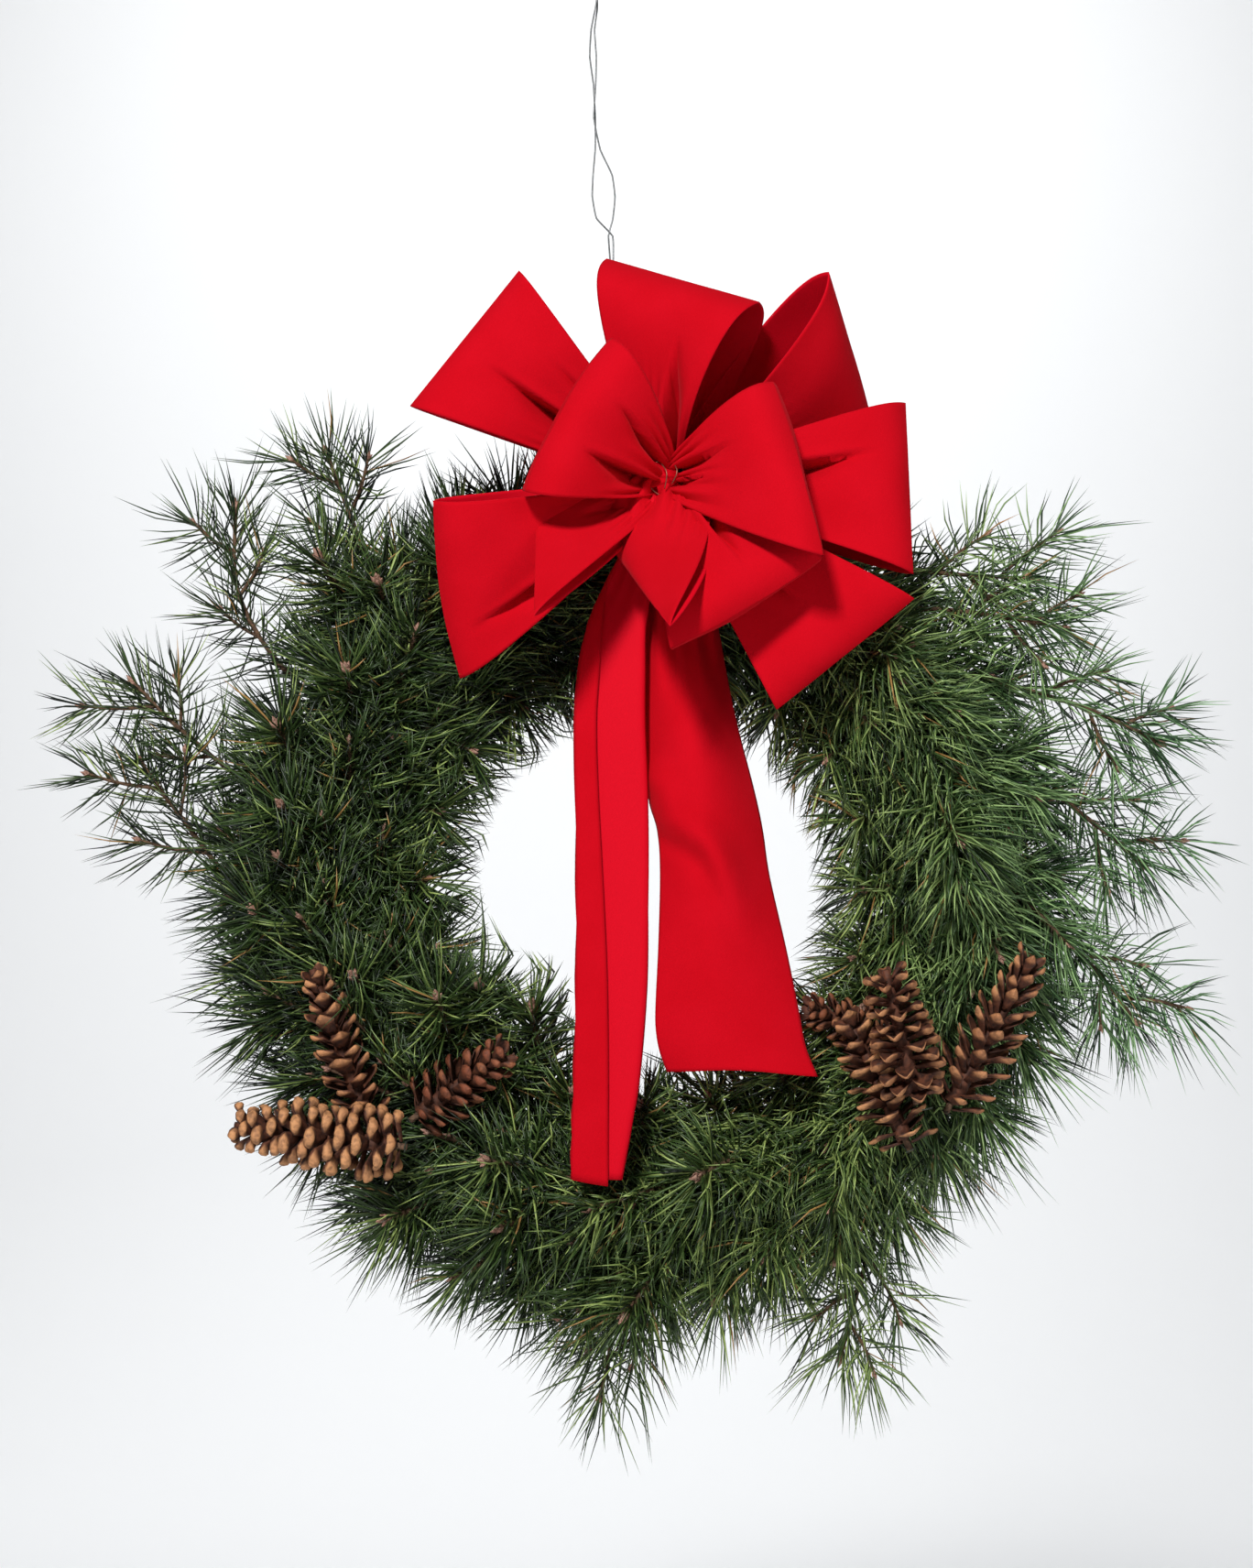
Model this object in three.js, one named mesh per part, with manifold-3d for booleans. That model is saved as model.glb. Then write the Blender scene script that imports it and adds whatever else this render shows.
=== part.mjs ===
// Fresh evergreen wreath: bundles of long-needled pine tied clockwise round a wire ring, with two
// clusters of white-pine cones, a red velvet bow with two tails, and a doubled hanging wire.
// Millimetres. +Z is up, +X is right as seen from the front, and the wall is on the +Y side.

import * as THREE from 'three';
import { mergeVertices } from 'three/addons/utils/BufferGeometryUtils.js';
import Module from 'manifold-3d';

// The ring that carries everything, and the clearance between pieces that touch.
const RING_RADIUS = 178;
const RING_WIRE_RADIUS = 1.6;
const RING_STEPS = 40;
const TOUCH_GAP = 0.3;

// Pine bundles, laid clockwise over each other round the ring.
const BUNDLES = 20;
const BUNDLE_STEP_DEG = 360 / BUNDLES;
const FIRST_BUNDLE_DEG = 105;
const WRAP_FRONT = -12.4;
const STEM_RADIUS = 2.2;
const TWIG_RADIUS = 1.9;
const NEEDLE_BASE_RADIUS = 0.8;
const NEEDLE_LENGTH_MIN = 42;
const NEEDLE_LENGTH_MAX = 60;
const NEEDLE_SWEEP_DEG = 42;
const SWEEP_LESS_DEG = 12;
const SWEEP_MORE_DEG = 16;
const NEEDLE_TURN_DEG = 32;
const NEEDLES_PER_TWIG = 6;
const FIRST_ON_STEM = 0.5;
const FIRST_ON_TWIG = 0.3;
const LAST_NEEDLE = 0.985;
const NEEDLE_CLEARANCE = 0.35;
const NEEDLE_ROOT_LENGTH = 4.5;
const NEEDLE_TRIES = 14;
const TWIG_SIDES = 3;
const STEM_STEPS = 5;
const TWIG_STEPS = 2;
const HOLE_RADIUS = 106;
const FOLIAGE_BACK = 1.2;
const SEED = 20;

// A bundle's stem lies on the ring at its cut end, then rises forward over the next bundle's stem.
// Its places, and those of its three side twigs, are given as degrees clockwise from the bundle's
// start, distance from the axis, and depth.
const STEM_DEPTH = -2.8;
const STEM_PLACES = [[-4, 178, STEM_DEPTH], [0, 178, STEM_DEPTH], [4, 178, STEM_DEPTH],
  [12, 180, -12.4], [24, 190, -24], [36, 206, -36]];
const INNER_TWIG = [[13, 179.5, -13.4], [22, 166, -24], [30, 154, -34]];
const FRONT_TWIG = [[18, 184, -18], [26, 184, -38], [33, 190, -58]];
const OUTER_TWIG = [[8, 179, -8.5], [14, 208, -16], [20, 246, -24]];
const BODY_TWIGS = [STEM_PLACES, INNER_TWIG, FRONT_TWIG, OUTER_TWIG];

// Longer side twigs that stand out of the outline: the bundle they grow from, and their further places
// as distance from the axis, angle and depth.
const STRAY_TWIGS = [
  { bundle: 16, places: [[252, 151, -34], [304, 146, -42], [344, 139, -40]] },
  { bundle: 17, places: [[246, 133, -30], [290, 130, -38], [326, 128, -44]] },
  { bundle: 15, places: [[250, 167, -34], [300, 163, -42], [340, 160, -45]] },
  { bundle: 14, places: [[246, 182, -30], [290, 173, -40], [322, 168, -44]] },
  { bundle: 1, places: [[250, 54, -30], [290, 47, -40], [324, 42, -44]] },
  { bundle: 1, places: [[240, 47, -38], [280, 40, -48], [312, 35, -52]] },
  { bundle: 2, places: [[244, 32, -34], [290, 23, -42], [322, 17, -45]] },
  { bundle: 3, places: [[246, 16, -32], [276, 9, -40], [300, 4, -44]] },
  { bundle: 4, places: [[250, -5, -32], [282, -10, -40], [306, -14, -44]] },
  { bundle: 7, places: [[246, -51, -30], [276, -57, -38], [304, -61, -42]] },
  { bundle: 9, places: [[246, -87, -30], [270, -91, -38], [294, -95, -42]] },
];

// Cones: the places of the base and the tip, and how wide the open scales reach. The scale sizes are
// those of a cone of the usual radius. The outline is the share of the reach at the base, at one
// third, at two thirds and at the tip.
const USUAL_CONE_RADIUS = 23;
const CONES = [
  { base: [-163, -80, -139], tip: [-196, -98, -50], radius: 23 },
  { base: [-143, -104, -156], tip: [-243, -92, -147], radius: 23 },
  { base: [-130, -76, -139], tip: [-78, -88, -99], radius: 21 },
  { base: [163, -114, -120], tip: [144, -104, -44], radius: 24 },
  { base: [183, -84, -124], tip: [230, -100, -33], radius: 25 },
  { base: [155, -92, -146], tip: [118, -82, -70], radius: 22 },
  { base: [146, -52, -90], tip: [96, -68, -70], radius: 18 },
];
const CONE_OUTLINE = [0.8, 1, 0.85, 0.5];
const CONE_SCALES = 14;
const GOLDEN_ANGLE = 2.39996;
const CONE_CORE_RADIUS = 5;
const SCALE_LENGTH_BASE = 21;
const SCALE_LENGTH_TIP = 13;
const SCALE_THICKNESS = 2.4;
const SCALE_HALF_WIDTH_SHARE = 0.4;
const SCALE_WIDEST_AT = 0.66;
const SCALE_OPEN_BASE_DEG = 72;
const SCALE_OPEN_TIP_DEG = 24;
const SCALE_CLOSING_DEG = 18;
const SCALE_TRIES = 4;
const STALK_LENGTH = 12;
const STALK_RADIUS = 2.2;

// The florist wires that tie the cones and the bow to the ring: each one's hook passes behind it.
const TIE_WIRE_RADIUS = 0.45;
const HOOK_RADIUS = RING_WIRE_RADIUS + TOUCH_GAP + TIE_WIRE_RADIUS + 0.35;
const HOOK_TURNS = [150, 195, 240, 285, 330];
const BOW_WIRE_DEG = 86;
const SEARCH_DEG = 40;

// The binding wire, wound round the ring and the cut stem ends. The corners of each wrap are given
// as the distance outward and forward from the ring.
const BINDING_RADIUS = 0.5;
const WRAP_CORNERS = [[-4.8, 3.0], [-1.8, -2.8], [1.8, -2.8], [4.0, 3.0], [0, 9.6]];
const WRAP_HALF_WIDTH_DEG = 3;

// The hanging wire: one length, doubled, with both ends hooked under the ring. Its places are the
// middle line between its two strands: across, up, and how far the strands stand apart from it.
const HANG_WIRE_RADIUS = 0.55;
const HANG_LOOP_RADIUS = 8;
const HANG_LOOP_HEIGHT = 592;
const HANG_LOOP_X = -43.6;
const HANG_DEPTH = -0.4;
const HANG_HOOK_DEG = 97;
const HANG_PLACES = [
  [-21.6, 186, 2.6], [-22, 204, 1.2], [-23, 232, 1.2], [-24, 260, 1.2], [-25.5, 288, 1.2], [-27, 316, 1.2],
  [-28.5, 344, 1.2], [-29.5, 370, 1.2], [-30.5, 395, 1.2], [-31.5, 409, 1.4], [-35.5, 420, 5.2],
  [-36.5, 434, 7.2], [-37.5, 448, 6.0], [-41, 464, 1.6], [-43.5, 484, 1.2], [-44, 506, 1.8],
  [-45.5, 524, 2.2], [-46, 541, 1.2], [-44, 556, 1.8], [-43.6, 568, 1.3], [-43.6, 576, 2.4],
];
const HANG_TWIST_DEG = 47;
const HANG_LENS = [9, 13];
const HANG_HOOK_SHIFT = 1.2;

// The wreath's own origin is where it hangs: the inside of the wire's top loop. Everything else is
// placed from the ring's centre.
const HANG_POINT = new THREE.Vector3(HANG_LOOP_X, HANG_DEPTH, HANG_LOOP_HEIGHT - HANG_WIRE_RADIUS);

// The bow: one ribbon gathered at the knot.
const RIBBON_WIDTH = 102;
const RIBBON_THICKNESS = 1.2;
const KNOT = new THREE.Vector3(6, -94, 237);
const KNOT_SIZE = new THREE.Vector3(12, 22, 12);

// The bow's loops: the way each points in the picture plane, how far it leans forward, its length,
// how far it is rolled about its own length, how far its end is skewed, how full it stands open and
// the depth at which it leaves the knot. Angles are in degrees.
const LOOPS = [
  { points: 146.3, leans: 10, length: 147, roll: 3.5, skew: 3, open: 15, depth: -82 },
  { points: 87, leans: 12, length: 120, roll: -27, skew: 11, open: 24, depth: -86 },
  { points: 40, leans: 7, length: 137, roll: 33, skew: 12.5, open: 14, depth: -80 },
  { points: -1, leans: 10, length: 144.5, roll: 3, skew: -4.5, open: 18, depth: -86 },
  { points: -43.5, leans: 10.5, length: 149.5, roll: -6, skew: 5.5, open: 14, depth: -88 },
  { points: 209, leans: 11, length: 147, roll: -22, skew: 15, open: 17, depth: -88 },
  { points: 209, leans: 25, length: 94, roll: 32, skew: 36, open: 12, depth: -92 },
  { points: 153.3, leans: 37, length: 79.5, roll: 0, skew: 1.5, open: 19, depth: -100 },
  { points: -0.5, leans: 39, length: 94, roll: 0.5, skew: -20, open: 19, depth: -100 },
  { points: 254.8, leans: 28, length: 74, roll: 57, skew: 47, open: 8, depth: -104 },
  { points: -59, leans: 33, length: 108, roll: -3, skew: -4.5, open: 16, depth: -94 },
];
const LOOP_ROWS = 5;
const LOOP_COLUMNS = 2;
const GATHERED_SHARE = 0.14;
const SPREAD_BY = 0.78;
const LOOP_FULLNESS = 3.07;

// The tails hang from under the knot. Each place on a tail's middle line also says how wide the
// ribbon spreads to each side there, and how far its middle stands forward of its edges.
const TAIL_ROWS = 9;
const TAIL_COLUMNS = 4;
const RIGHT_TAIL = [
  [13, -80.4, 226, 6, 3], [15, -69, 192, 14, 8], [22, -72, 150, 23, 14], [30, -82, 92, 29, 22],
  [38, -90, 34, 34, 20], [46, -92, -26, 40, 14], [55, -94, -107, 46.5, 8],
];
const LEFT_TAIL = [
  [0, -80.3, 226, 5, -2], [-12, -68, 190, 10, -8], [-20, -76, 160, 15, -18], [-22, -90, 92, 20, -34],
  [-21.5, -92, 34, 21, -36], [-21, -94, -60, 21, -36], [-18, -96, -172, 21, -32],
];

// Where the foliage stays behind the bow and the tails.
const BOW_BACK = -58;
const BOW_REACH = 158;
const BOW_PRESS = 0.6;
const TAIL_BACK = -60;
const TAIL_LEFT_EDGE = -52;
const TAIL_RIGHT_EDGE = 112;
const TAIL_BOTTOM = -186;

const COLOURS = {
  steel: { color: 0x5b5f5c, roughness: 0.5, metalness: 0.9 },
  galvanised: { color: 0x9a9c9b, roughness: 0.45, metalness: 0.9 },
  pine: { color: 0x2f5a2c, roughness: 0.6, metalness: 0 },
  cone: { color: 0x7a4526, roughness: 0.85, metalness: 0 },
  velvet: { color: 0xc4061c, roughness: 0.95, metalness: 0 },
};

const wasm = await Module();
wasm.setup();

const wreath = new THREE.Group();
wreath.position.copy(HANG_POINT).negate();
const UP = new THREE.Vector3(0, 1, 0);
const radians = THREE.MathUtils.degToRad;

// One seeded draw after another, from 0 to 1.
let drawState = SEED;
function draw() {
  drawState = (drawState * 1664525 + 1013904223) % 4294967296;
  return drawState / 4294967296;
}

function drawBetween(low, high) {
  return low + (high - low) * draw();
}

// A place given by its distance from the ring's axis, its angle and its depth.
function polar(radius, degrees, y) {
  return new THREE.Vector3(radius * Math.cos(radians(degrees)), y, radius * Math.sin(radians(degrees)));
}

// Solids are joined as closed meshes whose shared vertices are merged.
function toSolid(geometry) {
  geometry.deleteAttribute('normal');
  geometry.deleteAttribute('uv');
  const merged = mergeVertices(geometry, 1e-4);
  return new wasm.Manifold(new wasm.Mesh({
    numProp: 3,
    vertProperties: new Float32Array(merged.attributes.position.array),
    triVerts: new Uint32Array(merged.index.array),
  }));
}

function toGeometry(solid) {
  const mesh = solid.getMesh();
  const geometry = new THREE.BufferGeometry();
  geometry.setAttribute('position', new THREE.BufferAttribute(mesh.vertProperties, 3));
  geometry.setIndex(new THREE.BufferAttribute(mesh.triVerts, 1));
  return geometry;
}

function fuse(geometries) {
  const solids = geometries.map(toSolid);
  return solids.reduce((whole, solid) => whole.add(solid));
}

// Only the outer skin of a joined piece stays, so a hollow that joining has sealed is filled.
function outerSkin(solid) {
  return solid.decompose().reduce((largest, part) => (part.volume() > largest.volume() ? part : largest));
}

function addPiece(name, geometry, finish) {
  geometry.computeVertexNormals();
  const mesh = new THREE.Mesh(geometry, new THREE.MeshStandardMaterial(finish));
  mesh.name = name;
  wreath.add(mesh);
}

function numbered(name, index) {
  return name + '_' + String(index + 1).padStart(2, '0');
}

// A route that keeps the spacing of its own points, so that tight hooks get more steps.
class Route extends THREE.CatmullRomCurve3 {
  getPointAt(u, target) {
    return this.getPoint(u, target);
  }

  getTangentAt(u, target) {
    return this.getTangent(u, target);
  }
}

function tube(points, radius, sides, steps) {
  const corners = [];
  for (let i = 0; i < sides; i += 1) {
    const turn = (2 * Math.PI * i) / sides;
    corners.push(new THREE.Vector2(radius * Math.cos(turn), radius * Math.sin(turn)));
  }
  return new THREE.ExtrudeGeometry(new THREE.Shape(corners), {
    steps, bevelEnabled: false, extrudePath: new Route(points),
  });
}

// Every finished slim piece is remembered as tapered rods, and every cone as the space it fills, so
// that what is placed later stays clear of them.
const rods = [];
const coneSpaces = [];

function makeRod(from, to, radiusFrom, radiusTo) {
  const middle = from.clone().add(to).multiplyScalar(0.5);
  const reach = from.distanceTo(to) / 2 + Math.max(radiusFrom, radiusTo);
  return { from, to, radiusFrom, radiusTo, middle, reach };
}

function routeRods(points, radius, steps) {
  const places = new Route(points).getPoints(steps);
  return places.slice(1).map((place, i) => makeRod(places[i], place, radius, radius));
}

// The clearance between two tapered rods, from the nearest points of their axes.
function rodClearance(a, b) {
  const d1 = a.to.clone().sub(a.from);
  const d2 = b.to.clone().sub(b.from);
  const r = a.from.clone().sub(b.from);
  const len1 = d1.lengthSq();
  const len2 = d2.lengthSq();
  const f = d2.dot(r);
  const c = d1.dot(r);
  const cross = d1.dot(d2);
  const denominator = len1 * len2 - cross * cross;
  let s = 0;
  if (denominator > 1e-9) {
    s = THREE.MathUtils.clamp((cross * f - c * len2) / denominator, 0, 1);
  }
  let t = (cross * s + f) / len2;
  if (t < 0) {
    t = 0;
    s = THREE.MathUtils.clamp(-c / len1, 0, 1);
  } else if (t > 1) {
    t = 1;
    s = THREE.MathUtils.clamp((cross - c) / len1, 0, 1);
  }
  const p = a.from.clone().addScaledVector(d1, s);
  const q = b.from.clone().addScaledVector(d2, t);
  const radiusA = a.radiusFrom + (a.radiusTo - a.radiusFrom) * s;
  const radiusB = b.radiusFrom + (b.radiusTo - b.radiusFrom) * t;
  return p.distanceTo(q) - radiusA - radiusB;
}

function clearance(rod, others) {
  const farthest = 3;
  let least = farthest;
  for (const other of others) {
    if (other.middle.distanceTo(rod.middle) < other.reach + rod.reach + farthest) {
      least = Math.min(least, rodClearance(rod, other));
    }
  }
  return least;
}

// Wire ring: a hexagonal wire with one flat side to the wall.
function buildRing() {
  const profile = [];
  for (let corner = 0; corner <= 6; corner += 1) {
    const turn = radians(60 * corner + 60);
    const across = RING_WIRE_RADIUS * Math.cos(turn);
    profile.push(new THREE.Vector2(RING_RADIUS + across, RING_WIRE_RADIUS * Math.sin(turn)));
  }
  const ring = new THREE.LatheGeometry(profile, RING_STEPS);
  addPiece('ring_frame', toGeometry(toSolid(ring)), COLOURS.steel);
}

function bundleStart(index) {
  return FIRST_BUNDLE_DEG - BUNDLE_STEP_DEG * index;
}

// The bow presses the foliage behind it back, so that it stands less far out there.
function pressedDepth(place) {
  const across = Math.hypot(place.x - KNOT.x, place.z - KNOT.z);
  const standing = place.y - WRAP_FRONT;
  return across < BOW_REACH && standing < 0 ? WRAP_FRONT + standing * BOW_PRESS : place.y;
}

function bundleTwigs(index) {
  const start = bundleStart(index);
  const twigs = BODY_TWIGS.map((places) => places.map(([degrees, radius, y]) => {
    const place = polar(radius, start - degrees, y);
    place.y = pressedDepth(place);
    return place;
  }));
  const rootPlaces = twigs[0];
  for (const stray of STRAY_TWIGS) {
    if (stray.bundle === index) {
      const places = stray.places.map(([radius, degrees, y]) => polar(radius, degrees, y));
      twigs.push([rootPlaces[4].clone(), ...places]);
    }
  }
  return twigs;
}

function buildCores(twigs) {
  return twigs.map((places, order) => {
    const radius = order === 0 ? STEM_RADIUS : TWIG_RADIUS;
    const steps = order === 0 ? STEM_STEPS : TWIG_STEPS;
    rods.push(...routeRods(places, radius, steps));
    return tube(places, radius, TWIG_SIDES, steps);
  });
}

// Whether a place is in the hole, behind the wreath's back, or in the space of the bow or the tails.
function inKeepOut(place) {
  const across = Math.hypot(place.x - KNOT.x, place.z - KNOT.z);
  const overTail = place.x > TAIL_LEFT_EDGE && place.x < TAIL_RIGHT_EDGE && place.z > TAIL_BOTTOM;
  return Math.hypot(place.x, place.z) < HOLE_RADIUS
    || place.y > FOLIAGE_BACK
    || (across < BOW_REACH && place.y < BOW_BACK)
    || (overTail && place.z < KNOT.z && place.y < TAIL_BACK);
}

function twigFrame(route, steps, at) {
  const frames = route.computeFrenetFrames(steps, false);
  const step = Math.min(Math.floor(at * steps), steps - 1);
  const along = route.getPoint((step + 1) / steps).sub(route.getPoint(step / steps)).normalize();
  return { along, side: frames.normals[step], lift: frames.binormals[step] };
}

function needleGeometry(root, tip) {
  const length = root.distanceTo(tip);
  const spike = new THREE.ConeGeometry(NEEDLE_BASE_RADIUS, length, 3);
  const turn = new THREE.Quaternion().setFromUnitVectors(UP, tip.clone().sub(root).normalize());
  spike.translate(0, length / 2, 0);
  spike.applyQuaternion(turn);
  spike.translate(root.x, root.y, root.z);
  return spike;
}

// A needle leaves through a face of its twig, swept towards the twig's tip. One that would touch
// another piece is drawn again with another direction.
function placeNeedle(root, frame, face) {
  const faceStep = 360 / TWIG_SIDES;
  for (let attempt = 0; attempt < NEEDLE_TRIES; attempt += 1) {
    const spread = drawBetween(-NEEDLE_TURN_DEG, NEEDLE_TURN_DEG);
    const turn = radians(faceStep * (face + attempt + 0.5) + spread);
    const sweep = radians(NEEDLE_SWEEP_DEG + drawBetween(-SWEEP_LESS_DEG, SWEEP_MORE_DEG));
    const length = drawBetween(NEEDLE_LENGTH_MIN, NEEDLE_LENGTH_MAX);
    const direction = frame.along.clone().multiplyScalar(Math.cos(sweep))
      .addScaledVector(frame.side, Math.sin(sweep) * Math.cos(turn))
      .addScaledVector(frame.lift, Math.sin(sweep) * Math.sin(turn));
    const tip = root.clone().addScaledVector(direction, length);
    const clearRoot = root.clone().addScaledVector(direction, NEEDLE_ROOT_LENGTH);
    const middle = root.clone().add(tip).multiplyScalar(0.5);
    const rod = makeRod(clearRoot, tip, NEEDLE_BASE_RADIUS, 0.1);
    const clear = Math.min(clearance(rod, rods), clearance(rod, coneSpaces));
    if (!inKeepOut(tip) && !inKeepOut(middle) && clear > NEEDLE_CLEARANCE) {
      rods.push(rod);
      return needleGeometry(root, tip);
    }
  }
  return null;
}

function buildNeedles(bundle) {
  const needles = [];
  bundle.twigs.forEach((places, order) => {
    const route = new Route(places);
    const steps = order === 0 ? STEM_STEPS : TWIG_STEPS;
    const first = order === 0 ? FIRST_ON_STEM : FIRST_ON_TWIG;
    for (let i = 0; i < NEEDLES_PER_TWIG; i += 1) {
      const share = Math.pow(i / (NEEDLES_PER_TWIG - 1), 0.8);
      const at = THREE.MathUtils.lerp(first, LAST_NEEDLE, share);
      const step = Math.min(Math.floor(at * steps), steps - 1);
      const within = at * steps - step;
      const root = route.getPoint(step / steps).lerp(route.getPoint((step + 1) / steps), within);
      const needle = placeNeedle(root, twigFrame(route, steps, at), i);
      if (needle) {
        needles.push(needle);
      }
    }
  });
  return needles;
}

// A scale is a plate like a kite, widest near its outer end and thickest there.
function scaleGeometry(root, along, across, length) {
  const plate = new THREE.OctahedronGeometry(1);
  const outward = new THREE.Vector3().crossVectors(across, along);
  const places = plate.attributes.position;
  const halfWidth = length * SCALE_HALF_WIDTH_SHARE;
  for (let i = 0; i < places.count; i += 1) {
    const end = places.getY(i);
    const reach = end < -0.5 ? 0 : end > 0.5 ? length : length * SCALE_WIDEST_AT;
    const place = root.clone().addScaledVector(along, reach)
      .addScaledVector(across, places.getX(i) * halfWidth)
      .addScaledVector(outward, places.getZ(i) * SCALE_THICKNESS / 2);
    places.setXYZ(i, place.x, place.y, place.z);
  }
  return plate;
}

function placedAlong(geometry, from, direction) {
  geometry.applyQuaternion(new THREE.Quaternion().setFromUnitVectors(UP, direction));
  geometry.translate(from.x, from.y, from.z);
  return geometry;
}

const finishedCones = [];

function buildCone(cone, index) {
  const base = new THREE.Vector3(...cone.base);
  const tip = new THREE.Vector3(...cone.tip);
  const axis = tip.clone().sub(base);
  const length = axis.length();
  axis.normalize();
  const side = new THREE.Vector3(0, 1, 0).cross(axis).normalize();
  const lift = axis.clone().cross(side);
  const core = new THREE.CylinderGeometry(CONE_CORE_RADIUS * 0.4, CONE_CORE_RADIUS, length * 0.94, 5);
  core.translate(0, length * 0.47, 0);
  const stalk = new THREE.CylinderGeometry(STALK_RADIUS, STALK_RADIUS, STALK_LENGTH + 4, 4);
  stalk.translate(0, (4 - STALK_LENGTH) / 2, 0);
  let solid = fuse([placedAlong(core, base, axis), placedAlong(stalk, base, axis)]);
  for (let i = 0; i < CONE_SCALES; i += 1) {
    const at = (i + 0.5) / CONE_SCALES;
    const turn = i * GOLDEN_ANGLE;
    const radial = side.clone().multiplyScalar(Math.cos(turn)).addScaledVector(lift, Math.sin(turn));
    const across = new THREE.Vector3().crossVectors(axis, radial);
    const usualSize = THREE.MathUtils.lerp(SCALE_LENGTH_BASE, SCALE_LENGTH_TIP, at);
    const size = usualSize * cone.radius / USUAL_CONE_RADIUS;
    const root = base.clone().addScaledVector(axis, length * at * 0.9).addScaledVector(radial, 1);
    let open = THREE.MathUtils.lerp(SCALE_OPEN_BASE_DEG, SCALE_OPEN_TIP_DEG, Math.pow(at, 1.3));
    for (let attempt = 0; attempt < SCALE_TRIES; attempt += 1) {
      const along = axis.clone().multiplyScalar(Math.cos(radians(open)))
        .addScaledVector(radial, Math.sin(radians(open)));
      const scale = toSolid(scaleGeometry(root, along, across, size));
      if (finishedCones.every((other) => scale.minGap(other, 1) > TOUCH_GAP)) {
        solid = solid.add(scale);
        break;
      }
      open -= SCALE_CLOSING_DEG;
    }
  }
  finishedCones.push(solid);
  const parts = CONE_OUTLINE.length - 1;
  for (let i = 0; i < parts; i += 1) {
    const from = base.clone().lerp(tip, i / parts);
    const to = base.clone().lerp(tip, (i + 1) / parts);
    const widths = [CONE_OUTLINE[i] * cone.radius, CONE_OUTLINE[i + 1] * cone.radius];
    coneSpaces.push(makeRod(from, to, ...widths));
  }
  const stalkEnd = base.clone().addScaledVector(axis, -STALK_LENGTH);
  coneSpaces.push(makeRod(base, stalkEnd, STALK_RADIUS, STALK_RADIUS));
  addPiece('cone_' + (index + 1), toGeometry(outerSkin(solid)), COLOURS.cone);
  return { base, stalkEnd, axis };
}

// A wire's hook passes behind the ring, from its inner side to its outer side, and goes on forward.
function ringHook(degrees) {
  return HOOK_TURNS.map((turn) => {
    const radius = RING_RADIUS + HOOK_RADIUS * Math.cos(radians(turn));
    return polar(radius, degrees, -HOOK_RADIUS * Math.sin(radians(turn)));
  });
}

// The wire's place on the ring is the nearest one from which it runs clear of all other pieces.
function buildTieWire(name, degrees, endPlaces) {
  for (let shift = 0; shift < SEARCH_DEG; shift += 0.5) {
    for (const sense of [1, -1]) {
      const at = degrees + shift * sense;
      const points = [...ringHook(at), polar(RING_RADIUS + 7, at, -7), ...endPlaces];
      const wireRods = routeRods(points, TIE_WIRE_RADIUS, points.length - 1);
      const wire = tube(points, TIE_WIRE_RADIUS, 3, points.length - 1);
      const clearOfRods = wireRods.every((rod) => clearance(rod, rods) > TOUCH_GAP);
      if (clearOfRods && finishedCones.every((cone) => toSolid(wire).minGap(cone, 1) > TOUCH_GAP / 2)) {
        rods.push(...wireRods);
        addPiece(name, wire, COLOURS.steel);
        return;
      }
    }
  }
  throw new Error('no clear way for ' + name);
}

function buildConeWire(cone, index) {
  const name = 'cone_wire_' + (index + 1);
  const degrees = THREE.MathUtils.radToDeg(Math.atan2(cone.stalkEnd.z, cone.stalkEnd.x));
  const beyond = STALK_RADIUS + TOUCH_GAP + TIE_WIRE_RADIUS;
  const middle = cone.stalkEnd.clone().lerp(cone.base, 0.4);
  const side = new THREE.Vector3(0, 1, 0).cross(cone.axis).normalize();
  const back = side.clone().cross(cone.axis);
  const rear = back.y > 0 ? back : back.clone().negate();
  const loop = [0, 60, 120, 180, 240].map((turn) => middle.clone()
    .addScaledVector(rear, beyond * 1.2 * Math.cos(radians(turn)))
    .addScaledVector(side, beyond * 1.2 * Math.sin(radians(turn))));
  const approach = middle.clone().addScaledVector(rear, 14);
  buildTieWire(name, degrees, [approach, ...loop]);
}

// The binding wire winds round the ring and each bundle's cut end as a five-cornered coil, and
// passes along the ring's inner side from one bundle to the next.
function buildBindingWire() {
  const points = [];
  for (let index = 0; index < BUNDLES; index += 1) {
    const corners = WRAP_CORNERS.length;
    for (let i = 0; i <= corners; i += 1) {
      const [outward, forward] = WRAP_CORNERS[i % corners];
      const degrees = bundleStart(index) + WRAP_HALF_WIDTH_DEG - 2 * WRAP_HALF_WIDTH_DEG * i / corners;
      points.push(polar(RING_RADIUS + outward, degrees, -forward));
    }
  }
  rods.push(...routeRods(points, BINDING_RADIUS, points.length - 1));
  addPiece('binding_wire', tube(points, BINDING_RADIUS, 3, points.length - 1), COLOURS.steel);
}

function hangingStrand(sense) {
  let turn = 90;
  return HANG_PLACES.map(([x, z, apart], order) => {
    const inLens = order > HANG_LENS[0] && order <= HANG_LENS[1];
    turn += inLens ? 0 : HANG_TWIST_DEG;
    const angle = inLens ? 0 : radians(turn);
    const shift = sense * apart;
    return new THREE.Vector3(x + shift * Math.cos(angle), HANG_DEPTH + shift * Math.sin(angle), z);
  });
}

// Each end hooks round under the ring, one from the front and one from behind.
function hangingHook(sense, acrossShift) {
  const around = sense > 0 ? [-130, -95, -60, -20, 20, 60] : [310, 275, 240, 200, 160, 120];
  const reach = RING_WIRE_RADIUS + TOUCH_GAP + HANG_WIRE_RADIUS + 0.6;
  const middle = polar(RING_RADIUS, HANG_HOOK_DEG, 0);
  return around.map((turn) => new THREE.Vector3(middle.x + acrossShift,
    reach * Math.cos(radians(turn)), middle.z + reach * Math.sin(radians(turn))));
}

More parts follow.
